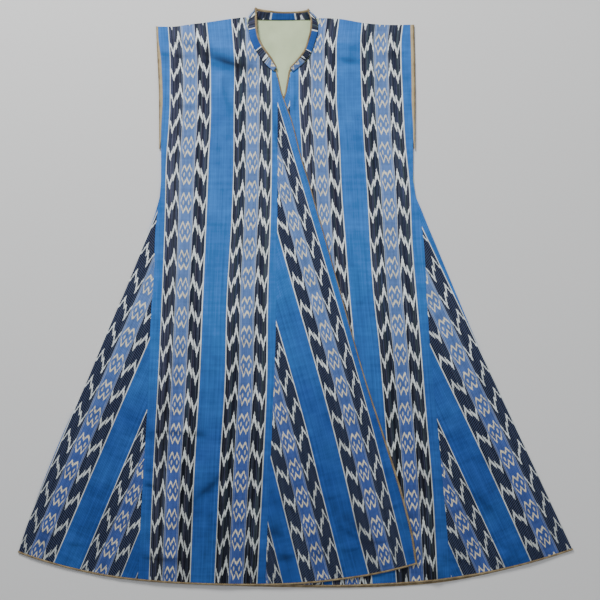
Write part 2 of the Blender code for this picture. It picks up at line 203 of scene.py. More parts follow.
def layer_top(names):
    """Give a function that reads the blurred top of these solids from across and drop. Beyond the
    solids the height grows outwards from their edges, so no edge drops away."""
    trees = []
    for name in names:
        mesh = nodes[name].data
        trees.append(BVHTree.FromPolygons([v.co for v in mesh.vertices],
                                          [p.vertices for p in mesh.polygons]))
    columns = np.arange(cad_box[0][0] - MARGIN, cad_box[1][0] + MARGIN, RASTER)
    rows = np.arange(-MARGIN / 2, 2 * TOP + MARGIN, RASTER)
    values, known = np.zeros((len(rows), len(columns))), np.zeros((len(rows), len(columns)), bool)
    for r, drop in enumerate(rows):
        for c, across in enumerate(columns):
            for tree in trees:
                hit = tree.ray_cast(point(across, drop, RAY_START), Vector((0, 0, -1)))[0]
                if hit is not None:
                    values[r, c], known[r, c] = hit.z, True
    smooth, share = blurred(values, known)
    for _ in range(GROWING_PASSES):
        known = share > KNOWN_SHARE
        grown, reached = blurred(smooth, known)
        smooth = np.where(known, smooth, grown)
        share = np.where(known, share, reached)

    def read(across, drop):
        x = np.clip((across - columns[0]) / RASTER, 0, len(columns) - 1.001)
        y = np.clip((drop - rows[0]) / RASTER, 0, len(rows) - 1.001)
        c, r = np.floor(x).astype(int), np.floor(y).astype(int)
        x, y = x - c, y - r
        upper = smooth[r, c] * (1 - x) + smooth[r, c + 1] * x
        lower = smooth[r + 1, c] * (1 - x) + smooth[r + 1, c + 1] * x
        return upper * (1 - y) + lower * y

    return read


over_top = layer_top(["right_front", "right_front_gore", "right_side_gore", "braid_right_front"])
under_top = layer_top(["left_front", "left_front_gore", "left_side_gore"])
over_edge = Outline("braid_right_front").right
print("over front, 0.3 m down:", round(over_top(-0.2, 0.3) / MM, 2), "mm high")

# %% [markdown]
# ## Creases
# A garment that has been folded away and spread out again keeps soft creases. Each row below is
# one crease seen on the cloth: where it starts and ends, how far it bows sideways, how wide it is
# and how high. A height below zero is a trough. The profile is steeper on its lower side and dies
# away towards both ends, so no two look alike.

# %% The creases of each layer
# Columns (mm): start across, start drop, end across, end drop, bow, half width, height
OVER_CREASES = (
    (-296, 66, -190, 76, 5, 18, 2.6), (-312, 100, -214, 108, 3, 8, 1.8),
    (-232, 102, -96, 136, 8, 26, 6.4), (-170, 146, -150, 240, 8, 17, 3.0),
    (-258, 150, -236, 236, -6, 16, 1.6), (-100, 190, -64, 330, 10, 20, 2.0),
    (-290, 300, -214, 340, 8, 16, 1.6), (-182, 420, -176, 560, 7, 18, 2.0),
    (-276, 560, -262, 700, -6, 18, 1.6), (-84, 620, -100, 760, 9, 18, 2.0),
    (-205, 700, -198, 850, -7, 16, 1.8), (-334, 952, -200, 961, -4, 12, 3.6),
    (-250, 1118, -150, 1010, 9, 24, 5.0), (-212, 1150, -110, 1052, 8, 18, 2.6),
    (-340, 1062, -306, 1082, 2, 7, 2.4), (-344, 1234, -236, 1243, 3, 8, 2.4),
    (-522, 1200, -474, 1208, 3, 7, 1.8), (-590, 1166, -534, 1196, -3, 8, 1.6),
    (-470, 1010, -446, 1100, 7, 15, 2.0), (-400, 860, -372, 960, -6, 15, 1.8),
    (-360, 640, -346, 760, 5, 12, 1.6), (-340, 500, -326, 590, 4, 10, 1.6),
    (86, 1150, 178, 1206, 4, 16, 4.2), (96, 1218, 150, 1212, 3, 8, 2.0),
    (20, 1140, 70, 1215, 8, 16, 2.2), (-30, 960, 6, 1090, -9, 18, 2.0),
    (60, 760, 108, 900, 9, 18, 2.0), (0, 520, 40, 640, 7, 16, 1.8),
    (-34, 330, -14, 430, -5, 13, 1.4), (150, 1000, 196, 1090, 6, 14, 2.0),
    (-140, 1180, -84, 1240, 7, 13, 2.0), (-60, 1222, 20, 1231, 4, 9, 1.8),
    (-270, 215, -226, 222, 2, 8, 1.2), (-236, 470, -200, 478, 2, 8, 1.0),
    (-150, 850, -120, 905, 4, 10, 1.2), (-120, 380, -92, 392, 2, 8, 1.0),
    (-24, 1110, 4, 1128, 3, 11, 2.4), (196, 1128, 232, 1118, 2, 8, 2.0),
    (190, 1148, 240, 1160, -3, 7, 1.8), (-240, 1060, -226, 1120, 3, 9, 1.4),
)
UNDER_CREASES = (
    (78, 76, 160, 82, 4, 17, 2.8), (82, 104, 160, 118, 4, 17, 3.8),
    (176, 90, 256, 100, 5, 13, 2.2), (104, 466, 146, 668, 5, 14, 3.0),
    (146, 668, 206, 956, -6, 15, 3.0), (222, 160, 238, 300, 6, 16, 1.6),
    (60, 230, 78, 330, -6, 15, 1.5), (204, 430, 214, 560, 7, 16, 1.8),
    (250, 700, 262, 830, -6, 15, 1.8), (244, 1142, 270, 1150, 1, 6, 2.2),
    (246, 1170, 274, 1180, 1, 6, 2.2), (250, 1196, 282, 1206, 1, 6, 2.0),
    (270, 1246, 326, 1294, 4, 12, 4.0), (356, 1030, 474, 1148, 7, 20, 4.8),
    (330, 930, 372, 1010, -6, 14, 2.0), (410, 900, 448, 1000, 7, 15, 2.0),
    (336, 690, 364, 800, 6, 14, 1.8), (290, 505, 306, 600, -4, 10, 2.0),
    (520, 1090, 560, 1180, 6, 13, 1.8), (452, 1190, 500, 1226, 4, 10, 2.0),
    (330, 1236, 392, 1244, 3, 8, 1.8), (300, 1090, 320, 1180, 6, 12, 1.8),
    (160, 330, 196, 340, 2, 8, 1.2), (118, 250, 140, 300, 3, 10, 1.2),
)
STEEP_SIDE = 2.0
GENTLE_SIDE = 0.6
FADE_POWER = 0.8
PROFILE_POWER = 1.7


def creases(rows, steep=STEEP_SIDE, gentle=GENTLE_SIDE):
    """Give a function that adds up the creases at places."""
    def read(across, drop):
        total = np.zeros(np.shape(across))
        for row in rows:
            start_x, start_y, end_x, end_y, bow, width, height = (value * MM for value in row)
            length = math.hypot(end_x - start_x, end_y - start_y)
            run_x, run_y = (end_x - start_x) / length, (end_y - start_y) / length
            x, y = across - start_x, drop - start_y
            share = np.clip((x * run_x + y * run_y) / length, 0, 1)
            fade = np.sin(math.pi * share)
            aside = (y * run_x - x * run_y - bow * fade) / width
            aside = np.where(aside * run_x > 0, aside * steep, aside * gentle)
            total = total + height * fade ** FADE_POWER * np.exp(-np.abs(aside) ** PROFILE_POWER)
        return total

    return read


over_creases, under_creases = creases(OVER_CREASES), creases(UNDER_CREASES)
print(len(OVER_CREASES), "creases on the over layer,", len(UNDER_CREASES), "on the under layer")

# %% [markdown]
# ## Painted crease shade and stains
# The colour is painted darker along the shaded side of each crease, as the shade that falls in a
# fold, and a few rows also mark darker dyed blotches. A row below zero makes a paler spot. The rows
# are like those of the creases, but the last number is how much of its light the cloth loses there,
# in parts of a hundred.

# %% The marks of each layer
# Columns (mm): start across, start drop, end across, end drop, bow, half width, then the loss
OVER_MARKS = (
    (-228, 95, -84, 143, 6, 13, 66), (-190, 110, -96, 139, 4, 7, 16),
    (-276, 127, -260, 133, 0, 8, 24), (-164, 150, -144, 242, 6, 8, 26),
    (-234, 1108, -160, 1048, 3, 14, 44), (-234, 954, -198, 964, 0, 10, 34),
    (-68, 1180, -26, 1186, 0, 15, 44), (-48, 1238, 2, 1245, 0, 11, 40),
    (-356, 1238, -232, 1240, 2, 5, 38), (-342, 1076, -318, 1078, 0, 5, 36),
    (-344, 1036, -318, 1050, 0, 11, 20), (-342, 964, -316, 974, 0, 9, 20),
    (-344, 1160, -324, 1210, 0, 13, 20), (100, 1140, 174, 1196, 0, 19, 36),
    (136, 1208, 228, 1199, 2, 4, 40), (-300, 92, -290, 140, 0, 10, 20),
    (-54, 215, -32, 345, 3, 9, 42), (-530, 1120, -478, 1150, 4, 12, 16),
    (-210, 1180, -150, 1230, 0, 20, 14), (60, 1080, 110, 1180, 0, 16, 16),
    (-255, 90, -215, 92, 0, 8, 14), (24, 1225, 90, 1236, 0, 8, 20),
)
UNDER_MARKS = (
    (86, 110, 156, 126, 3, 14, 20), (-10, 245, 10, 165, 2, 6, 24), (240, 1148, 276, 1152, 0, 6, 32),
    (240, 1180, 278, 1184, 0, 7, 32), (270, 1246, 330, 1290, 2, 10, 40),
    (356, 1120, 420, 1160, 3, 16, 22), (436, 1212, 476, 1232, 0, 13, -22),
    (470, 1250, 530, 1246, 2, 9, 22), (170, 420, 190, 520, 3, 9, 10),
    (330, 1236, 392, 1244, 0, 9, 20), (250, 960, 290, 1040, 0, 12, 12),
    (180, 60, 250, 66, 0, 9, 14),
)
MARK_SIDES = (2.0, 0.75)
over_marks, under_marks = creases(OVER_MARKS, *MARK_SIDES), creases(UNDER_MARKS, *MARK_SIDES)
print(len(OVER_MARKS), "marks on the over layer,", len(UNDER_MARKS), "on the under layer")

# %% [markdown]
# ## How the cloth settles
# Even between its creases a lined cotton garment is never quite flat. It cockles by a few tenths
# of a millimetre, in long waves down the warp and short ones across. Noise from Blender's own
# library gives the same waves on every run.

# %% Heights of the cloth's surface
COCKLE = 0.0015
# Columns: waves to a metre across, and down, their share of the height, and a shift of the noise
WAVES = ((13, 8, 0.8, 0.0), (36, 22, 0.45, 7.3))
FADE_START = 0.004
FADE_LENGTH = 0.030
NECK_END = 0.140
WALL = 0.0012
DEEPEST_DIP = 0.0002
BACK_PLAY = 0.0003
BACK_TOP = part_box("back_panel")[1][2]


def ease(share):
    """Rise smoothly from 0 to 1."""
    t = np.clip(share, 0.0, 1.0)
    return t * t * (3 - 2 * t)


def cockle(across, drop, seed):
    """Small uneven waves, longer down the cloth than across it."""
    spots = np.broadcast_arrays(across, drop)
    waves = [sum(share * noise.noise(Vector((x * wide, y * long, seed + shift)))
                 for wide, long, share, shift in WAVES)
             for x, y in zip(np.ravel(spots[0]), np.ravel(spots[1]))]
    return COCKLE * np.maximum(np.reshape(waves, np.shape(spots[0])) + 0.4, -0.1)


def over_height(across, drop):
    """Top of the over layer."""
    return over_top(across, drop) + over_creases(across, drop) + cockle(across, drop, 3.0)


def under_height(across, drop):
    """Top of the under layer, whose creases stop where the over layer covers it."""
    shown = ease((across - over_edge(drop) - FADE_START) / FADE_LENGTH)
    shown = np.where(drop < NECK_END, 1.0, shown)
    loose = under_creases(across, drop) + cockle(across, drop, 11.0)
    return under_top(across, drop) + shown * np.maximum(loose, -DEEPEST_DIP)


def back_height(across, drop):
    """Top of the back, which has creases only where the fronts leave it room."""
    room = np.minimum(over_top(across, drop), under_top(across, drop)) - WALL - BACK_TOP - BACK_PLAY
    waves = over_creases(-across, drop) + cockle(across, drop, 17.0)
    return BACK_TOP + np.clip(waves, 0, np.maximum(room, 0))


print("over layer at the chest:", round(float(over_height(-0.2, 0.3)) / MM, 2), "mm high")

# %% [markdown]
# ## Where the stripes run
# The pattern is tied and dyed in the warp before weaving, so it must follow the warp of each cut
# piece, not the garment as a whole. Every white line that edges a band is charted down its piece.
# Between the lines the pattern's own "across" runs evenly. A second count runs down the warp in
# repeats of the motif, a little uneven as the dyer's ties were.

# %% Stripes of the fronts
BAND = 0.0934
GROUND = 0.0540
STRIPE_REPEAT = BAND + GROUND
MOTIF = 0.0648
LINE_PLACES = (0.0, BAND, STRIPE_REPEAT, STRIPE_REPEAT + BAND, 2 * STRIPE_REPEAT)

# Columns (mm): drop, then the across of each white line
RIGHT_LINES = (
    (30, -288, -200.6, -144, -52), (135, -282.4, -191.2, -137.5, -54.5),
    (230, -283.5, -190.8, -138.8, -53.6), (350, -291.4, -195.8, -139.7, -53.8),
    (456, -293.6, -200, -143.1, -55.8), (659, -301, -208.6, -154.8, -62.3),
    (840, -309.7, -216, -159, -64.5), (1030, -319.8, -226.7, -170.5, -72.6),
    (1290, -330.3, -236.7, -182.7, -86),
)
LEFT_LINES = (
    (30, 13, 97.5, 149.6, 242.8), (85, 7.8, 91.8, 145.8, 237.2), (200, 7.7, 91.8, 148.7, 241),
    (300, 12.8, 98.7, 153.5, 246.5), (400, 18.5, 103, 160.3, 256.4), (540, 26, 113.4, 168, 263),
    (655, 34.9, 122.6, 176, 272.5), (740, 43, 130.7, 185.5, 280), (900, 56, 145.1, 199.1, 292.8),
    (1080, 69, 158, 212, 308), (1290, 82, 172, 226, 319.4),
)
# Columns: drop (mm) of a motif's tip, number of that motif down its band
RIGHT_TIPS = (
    ((55.9, 0), (116.6, 1), (172.9, 2), (289.9, 4), (480, 7), (737.6, 11), (998.6, 15),
     (1255.1, 19)),
    ((73.9, 0), (134.6, 1), (195.4, 2), (323.6, 4), (517.1, 7), (780.4, 11), (1041.4, 15),
     (1237.1, 18)),
)
LEFT_TIPS = (
    ((58.1, 0), (118.9, 1), (181.9, 2), (311.2, 4), (505.9, 7), (570, 8), (1212, 18)),
    ((58.1, 0), (121.1, 1), (179.6, 2), (240.4, 3), (364.1, 5), (559.9, 8), (754.5, 11),
     (953.6, 14), (1212.4, 18)),
)


def across_stripes(lines, across, drop, side=1):
    """The pattern's across between charted lines. Side is -1 where it grows to the left."""
    places = [line(drop) for line in lines]
    u = np.minimum(side * (across - places[0]), 0)
    for i in range(len(places) - 1):
        share = np.clip((across - places[i]) / (places[i + 1] - places[i]), 0, 1)
        u = u + share * (LINE_PLACES[i + 1] - LINE_PLACES[i])
    return u + np.maximum(side * (across - places[-1]), 0)


def front_pattern(line_rows, tip_rows):
    """Give a front's pattern: its across and down in metres, and its count of motifs."""
    lines = lines_in_mm(line_rows)
    counts = [line_through([(drop * MM, number) for drop, number in tips]) for tips in tip_rows]

    def read(across, drop):
        u = across_stripes(lines, across, drop)
        blend = ease((u - BAND) / GROUND)
        return u, drop, counts[0](drop) * (1 - blend) + counts[1](drop) * blend

    return read


print("lines charted on the fronts:", len(RIGHT_LINES[0]) - 1, "and", len(LEFT_LINES[0]) - 1)

# %% [markdown]
# ## Stripes of the gores
# A gore is cut on a slant, with its outer edge along the warp, and was turned end for end, so its
# motifs point the other way. Its lines are charted from its free edge inwards. Down its warp is a
# fixed direction, given by a slope, and one motif's tip is charted for each band. Cloth cut on a
# slant also pulls askew, so the skew says how many repeats a band drops for each metre across it.

# %% Stripes of the gores
# Columns (mm): drop, then the across of each white line
RIGHT_GORE_LINES = (
    (458.6, -311, -204.5, -146.9, -55.9, -21.6), (748.9, -432.5, -329, -268.7, -175.7, -140.6),
    (1018.9, -546, -444.8, -382, -286.5, -251.3), (1288.9, -656, -560.6, -495.3, -395.3, -362),
)
LEFT_GORE_LINES = (
    (458.6, 268, 161.3, 104, 10, -15), (748.9, 405, 297, 237.3, 140.3, 116),
    (1018.9, 531, 426.5, 361.3, 261.8, 238.9), (1288.9, 656.8, 548.5, 485.4, 380.2, 355.1),
)
FRONT_GORE_LINES = (
    (118.9, -68.3, -145.2, -213, -279.5, -318.2), (208.9, -41.6, -121, -187, -257, -296),
    (433.9, 25.1, -60.6, -121.9, -200.6, -240.5), (658.9, 91.8, 2.8, -56.9, -144.3, -185),
    (748.9, 117.8, 29.2, -30.9, -121.7, -162.8), (928.9, 169, 79.4, 19.8, -77.3, -119),
    (1108.9, 214.4, 123.5, 64.3, -31.6, -74), (1176.4, 231.4, 138.6, 81.5, -14.7, -57.3),
    (1261.9, 252, 160.9, 103, 6.8, -36.2), (1300.1, 261, 170.9, 112.6, 16.3, -26.8),
)
# The lowest part of a motif lies this share of a repeat below its tip
TURNED_TIP = 0.93


def gore_pattern(line_rows, side, slope, tips, skew=0.0):
    """Give a gore's pattern. Side is -1 where it grows to the left, from the free edge."""
    lines = lines_in_mm(line_rows)
    stretch = math.sqrt(1 + slope * slope)
    starts = [(across * slope + drop) * MM / stretch for across, drop in tips]

    def read(across, drop):
        u = across_stripes(lines, across, drop, side)
        length = (across * slope + drop) / stretch
        start = starts[0]
        for i in range(1, len(starts)):
            passed = ease((u - BAND - (i - 1) * STRIPE_REPEAT) / GROUND)
            start = start + passed * (starts[i] - starts[i - 1])
        from_band = np.mod(u + GROUND / 2, STRIPE_REPEAT) - STRIPE_REPEAT / 2
        count = TURNED_TIP - (length - start) / MOTIF + skew * from_band
        return u, length, count

    return read


def mirrored(pattern, middle):
    """The same pattern on the other side of a middle line."""
    return lambda across, drop: pattern(2 * middle - across, drop)


print("lines charted on a gore:", len(RIGHT_GORE_LINES[0]) - 1)

# %% Patterns of all panels
BACK_SHIFT = STRIPE_REPEAT - 0.0027
OVERLAP_MIDDLE = -0.027


def back_pattern(across, drop):
    """The back's stripes carry on from the fronts' over the shoulders."""
    return across + BACK_SHIFT, -drop, -drop / MOTIF


right_gore = gore_pattern(RIGHT_GORE_LINES, 1, -0.42, ((-330.3, 518.1), (-349.7, 930)), -3.1)
left_gore = gore_pattern(LEFT_GORE_LINES, -1, 0.463, ((288.7, 495), (326.5, 933)))
front_gore = gore_pattern(FRONT_GORE_LINES, -1, 0.262,
                          ((-28.1, 253.4), (-30.8, 747.9), (-30.8, 776.4)))
patterns = {
    "right_front": front_pattern(RIGHT_LINES, RIGHT_TIPS),
    "left_front": front_pattern(LEFT_LINES, LEFT_TIPS),
    "right_side_gore": right_gore,
    "left_side_gore": left_gore,
    "right_front_gore": front_gore,
    "left_front_gore": mirrored(front_gore, OVERLAP_MIDDLE),
    "back_panel": back_pattern,
    "back_gore_right": right_gore,
    "back_gore_left": left_gore,
}
print("pattern at the middle of the right front:", patterns["right_front"](-0.2, 0.6))

# %% [markdown]
# ## Cut and lay the panels
# A panel could be a copy of its solid with more faces, but those faces are uneven triangles, and
# creases need even cells. So each panel starts as a plain grid, and every point of the grid is
# moved to its place between the four edges. The cells beside an edge are narrow, so that the cloth
# can roll down into its seam. An extruded copy, one wall lower, closes the shell.

# %% Cells of a panel
FINE_CELL = 0.0034
COARSE_CELL = 0.0090
EDGE_CELLS = (0.0010, 0.0014, 0.0022)


def shares_along(length, cell):
    """List the shares of a side's length where its cells meet, narrow beside both ends."""
    ends = np.cumsum((0,) + EDGE_CELLS)
    inner = length - 2 * ends[-1]
    count = max(2, round(inner / cell))
    middle = ends[-1] + inner * np.arange(1, count) / count
    return np.concatenate([ends, middle, length - ends[::-1]]) / length


def unit_grid(x_cells, y_cells):
    """A bmesh grid, and each point's share of the way across it and down it."""
    bm = bmesh.new()
    bmesh.ops.create_grid(bm, x_segments=x_cells, y_segments=y_cells, size=0.5)
    spots = np.array([vertex.co[:2] for vertex in bm.verts])
    return bm, spots[:, 0] + 0.5, 0.5 - spots[:, 1]


print("fine cells down a metre of cloth:", len(shares_along(1.0, FINE_CELL)) - 1)

# %% From a bmesh to a finished piece
SHARP_ANGLE = 50
pieces = {}


def write_points(bm, places, shade_and_soil):
    """Move each point to its place, and note how much painted shade and stains darken it."""
    layer = bm.verts.layers.float.new("shade_and_soil")
    for vertex, place, lost in zip(bm.verts, places, shade_and_soil):
        vertex.co = place
        vertex[layer] = lost


def write_uvs(bm, **maps):
    """Write UV maps. Each one has a row of places across and a row of places down."""
    bm.verts.index_update()
    for name, rows in maps.items():
        layer = bm.loops.layers.uv.new(name)
        places = np.stack(rows, axis=-1).tolist()
        for face in bm.faces:
            for loop in face.loops:
                loop[layer].uv = places[loop.vert.index]


def add_piece(name, bm, finishes):
    """Turn a bmesh into a named, smooth-shaded object with its finishes."""
    mesh = bpy.data.meshes.new(name)
    bm.to_mesh(mesh)
    bm.free()
    mesh.shade_smooth()
    mesh.set_sharp_from_angle(angle=math.radians(SHARP_ANGLE))
    for finish in finishes:
        mesh.materials.append(finish)
    piece = bpy.data.objects.new(name, mesh)
    bpy.context.scene.collection.objects.link(piece)
    pieces[name] = piece
    return piece


# %% Fit the grid between the edges
FITTING_PASSES = 7
CLOSE_SEAM = 0.00012
GORE_POINT = 0.032
POINT_FADE = 0.02
# The panel beside each side gore, and the gore's side that meets it (0 left, 1 right)
BESIDE = {
    "right_side_gore": ("right_front", 1), "left_side_gore": ("left_front", 0),
    "back_gore_right": ("back_panel", 1), "back_gore_left": ("back_panel", 0),
}


def drawn_to_point(node, across, drop, c, from_top):
    """Draw a side gore's top up to a point along the seam of its panel."""
    panel, side = BESIDE[node]
    body = Outline(panel)
    seam = body.left if side else body.right
    near_seam = c if side else 1 - c
    higher = drop - GORE_POINT * near_seam * np.exp(-(from_top / POINT_FADE) ** 2)
    return across + seam(higher) - seam(drop), higher


def fit_grid(node, cut, c, r):
    """Places at shares c across a panel and r down it, and how far each is from a side."""
    drop = cut.top_left[1] * (1 - r) + cut.low_left[1] * r
    for _ in range(FITTING_PASSES):
        left, right = cut.left(drop) - CLOSE_SEAM, cut.right(drop) + CLOSE_SEAM
        across = left + c * (right - left)
        top, hem = cut.top(across), cut.hem(across)
        drop = top + r * (hem - top)
    if node in BESIDE:
        across, drop = drawn_to_point(node, across, drop, c, drop - top)
    return across, drop, np.minimum(c, 1 - c) * (right - left)


# %% Make a shell of cloth
SEAM_DIP = 0.0006
SEAM_ROLL = 0.0022
MARKS = {over_height: over_marks, under_height: under_marks}


def close_shell(bm, wall):
    """Turn a sheet's faces up, and add its underside, one wall lower."""
    shown = bm.faces[:]
    bmesh.ops.recalc_face_normals(bm, faces=shown)
    if shown[0].normal.z < 0:
        bmesh.ops.reverse_faces(bm, faces=shown)
    result = bmesh.ops.extrude_face_region(bm, geom=shown, use_keep_orig=True)
    lower = [item for item in result["geom"] if isinstance(item, bmesh.types.BMVert)]
    bmesh.ops.translate(bm, verts=lower, vec=(0, 0, -wall))
    bmesh.ops.recalc_face_normals(bm, faces=bm.faces[:])


def cloth_shell(name, node, height, cell, finishes, wall=WALL):
    """A shell of cloth with the outline of a solid and the given height of its top."""
    cut = Outline(node)
    width = max(cut.right(d) - cut.left(d) for d in (cut.top_left[1], cut.low_left[1]))
    length = max(cut.low_left[1] - cut.top_left[1], cut.low_right[1] - cut.top_right[1])
    columns, rows = shares_along(width, cell), shares_along(length, cell)
    bm, c, r = unit_grid(len(columns) - 1, len(rows) - 1)
    c = columns[np.rint(c * (len(columns) - 1)).astype(int)]
    r = rows[np.rint(r * (len(rows) - 1)).astype(int)]
    across, drop, to_side = fit_grid(node, cut, c, r)
    level, shade_and_soil = height(across, drop), np.zeros(len(c))
    if height in MARKS:
        level = level - SEAM_DIP * np.exp(-(to_side / SEAM_ROLL) ** 2)
        # The marks paint the shade of the creases, and a few stains, into the cloth's colour
        shade_and_soil = MARKS[height](across, drop) / MM / 100
    write_points(bm, zip(across, TOP - drop, level), shade_and_soil)
    u, v, count = patterns.get(node, back_pattern)(across, drop)
    write_uvs(bm, cloth=(u, v), ikat=(u, count))
    close_shell(bm, wall)
    lining_side = 1 if name.startswith("back") else -1
    if len(finishes) > 1:
        for face in bm.faces:
            face.material_index = int(face.normal.z * lining_side > 0.5)
    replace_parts(add_piece(name, bm, finishes), node)
    print(f"{name}: {len(columns) - 1} by {len(rows) - 1} cells")


# %% [markdown]
# ## Sums as nodes
# A finish is built from many small sums, and in Blender each one is a Math node. A long row of
# nodes hides what is meant, so a value that changes over a surface is wrapped here as a Reading.
# Adding or scaling Readings adds the right nodes, and a finish can be read like a plain sum.

# %% Values that change over a surface
class Reading:
    """The output of a node. A sum with it adds a Math node to the same tree."""

    def __init__(self, socket):
        self.socket = socket
        self.tree = socket.id_data

    def calc(self, operation, *others):
        """Add a Math node that takes this value first."""
        return add_node(self.tree, "ShaderNodeMath", enumerate((self, *others)),
                        operation=operation)

    def __add__(self, other):
        return self.calc("ADD", other)

    def __sub__(self, other):
        return self.calc("SUBTRACT", other)

    def __rsub__(self, other):
        return add_node(self.tree, "ShaderNodeMath", {0: other, 1: self}, operation="SUBTRACT")

    def __mul__(self, other):
        return self.calc("MULTIPLY", other)

    def __truediv__(self, other):
        return self.calc("DIVIDE", other)

    def __floordiv__(self, other):
        return (self / other).calc("FLOOR")

    def __abs__(self):
        return self.calc("ABSOLUTE")


# %% Add and read nodes
def place_node(tree, kind, inputs=(), **settings):
    """Add a node, set it up, and connect or set its inputs by name or number."""
    node = tree.nodes.new(kind)
    for name, value in settings.items():
        setattr(node, name, value)
    for key, value in dict(inputs).items():
        if isinstance(value, Reading):
            tree.links.new(value.socket, node.inputs[key])
        else:
            node.inputs[key].default_value = value
    return node


def add_node(tree, kind, inputs=(), **settings):
    """Add a node and read its first output."""
    return Reading(place_node(tree, kind, inputs, **settings).outputs[0])


def read_all(node):
    """Read every output of a node by its name."""
    return {socket.name: Reading(socket) for socket in node.outputs}


def new_group(name, inputs):
    """Start a node group and read its inputs. A row is a name, a kind of socket and a value."""
    tree = bpy.data.node_groups.new(name, "ShaderNodeTree")
    for label, kind, value in inputs:
        socket = tree.interface.new_socket(label, in_out="INPUT", socket_type="NodeSocket" + kind)
        if value is not None:
            socket.default_value = value
    return tree, read_all(tree.nodes.new("NodeGroupInput"))


def finish_group(tree, outputs):
    """Finish a node group. A row is a name, a kind of socket and a reading."""
    for label, kind, _ in outputs:
        tree.interface.new_socket(label, in_out="OUTPUT", socket_type="NodeSocket" + kind)
    end = tree.nodes.new("NodeGroupOutput")
    for label, _, value in outputs:
        tree.links.new(value.socket, end.inputs[label])
    print(tree.name + ":", len(tree.nodes), "nodes")


def use_group(tree, group, inputs):
    """Place a node group in a tree and read its outputs."""
    return read_all(place_node(tree, "ShaderNodeGroup", inputs, node_tree=group))


# %% Colours and masks
def colour(red, green, blue):
    """A colour as a screen shows it (0 to 255), in the linear values that shaders use."""
    values = [value / 255 for value in (red, green, blue)]
    linear = [v / 12.92 if v <= 0.04045 else ((v + 0.055) / 1.055) ** 2.4 for v in values]
    return (*linear, 1.0)


def blend(tree, factor, first, second, blend_type="MIX"):
    """Blend two colours."""
    node = place_node(tree, "ShaderNodeMix", {0: factor, 6: first, 7: second}, data_type="RGBA",
                      blend_type=blend_type)
    return Reading(node.outputs[2])


def scaled(tint, amount):
    """A colour made lighter or darker."""
    return add_node(tint.tree, "ShaderNodeVectorMath", {0: tint, 3: amount}, operation="SCALE")


def clamped(value):
    """Keep a value between 0 and 1."""
    return add_node(value.tree, "ShaderNodeClamp", {0: value})


def below(value, limit, softness):
    """1 where the value is below the limit, 0 above it, with a soft edge."""
    return add_node(value.tree, "ShaderNodeMapRange",
                    {"Value": value, "From Min": limit - softness, "From Max": limit + softness,
                     "To Min": 1.0, "To Max": 0.0}, interpolation_type="SMOOTHSTEP")


def chart(value, points):
    """Read a value from a curve through the given points, straight between them."""
    node = place_node(value.tree, "ShaderNodeFloatCurve", {"Value": value})
    curve = node.mapping.curves[0]
    for place, height in points[1:-1]:
        curve.points.new(place, height)
    for spot, (place, height) in zip(curve.points, points):
        spot.location = (place, height)
        spot.handle_type = "VECTOR"
    node.mapping.update()
    return Reading(node.outputs[0])


# %% Places and noise
def split_xyz(vector):
    """The three parts of a place."""
    return read_all(place_node(vector.tree, "ShaderNodeSeparateXYZ", {0: vector}))


def noise_at(place, scale, detail, dimensions="3D"):
    """Soft noise, from 0 to 1."""
    return add_node(place.tree, "ShaderNodeTexNoise",
                    {"Vector": place, "Scale": scale, "Detail": detail},
                    noise_dimensions=dimensions)


def noise_along(cloth, across, down, detail):
    """Noise on the cloth, with this many patches to a metre across it and down it."""
    place = add_node(cloth.tree, "ShaderNodeVectorMath", {0: cloth, 1: (across, down, 1.0)},
                     operation="MULTIPLY")
    return noise_at(place, 1.0, detail, "2D")


# %% [markdown]
# ## The yarns
# Ikat warps are tied and dyed in small bundles, and each bundle slips a little when the loom is
# dressed. That slip makes the feathered edges that name the craft. This group numbers the bundles
# and the single yarns from the pattern's across, and gives each a steady random value.

# %% Group: yarns
BUNDLE = 0.0017
YARN = 0.00045

yarns, given = new_group("yarns", [("Across", "Float", None)])
number = given["Across"] // BUNDLE
bundle = read_all(place_node(yarns, "ShaderNodeTexWhiteNoise", {"W": number},
                             noise_dimensions="1D"))
yarn = add_node(yarns, "ShaderNodeTexWhiteNoise", {"W": given["Across"] // YARN},
                noise_dimensions="1D")
finish_group(yarns, [
    ("Bundle", "Float", bundle["Value"] - 0.5), ("Bundle middle", "Float", (number + 0.5) * BUNDLE),
    ("Yarn", "Float", yarn - 0.5), ("Tint", "Color", bundle["Color"]),
])

# %% [markdown]
# ## The ikat band
# A band has a blue strip with a small cream zigzag figure down its middle, on each side a dark zone
# crossed by a white flame, and a thin white line along each edge. The two flames are like mirror
# images, but one lies a little higher, as its warps slipped. Two curves chart the flames across the
# band: how far down the repeat they lie, and how thick they are. A third charts the cream figure.
# A picture of the cloth would be quicker, but it would go soft close up and repeat every spot; a
# chart stays sharp, and the yarns break it up in a new way in each repeat.
#
# The bundle's slip is added to the count of motifs before the charts are read. Three inputs fit the
# chart to a piece: "Figure place" moves the cream figure down its repeat, "Lean" lifts the right
# flame in the first band and lowers it in the others, and "Squeeze" flattens the right flame and
# thins both, as on the gores, whose cloth is pulled askew.

# %% The chart of one motif
HALF_BAND = BAND / 2
CHART_WIDTH = 0.100
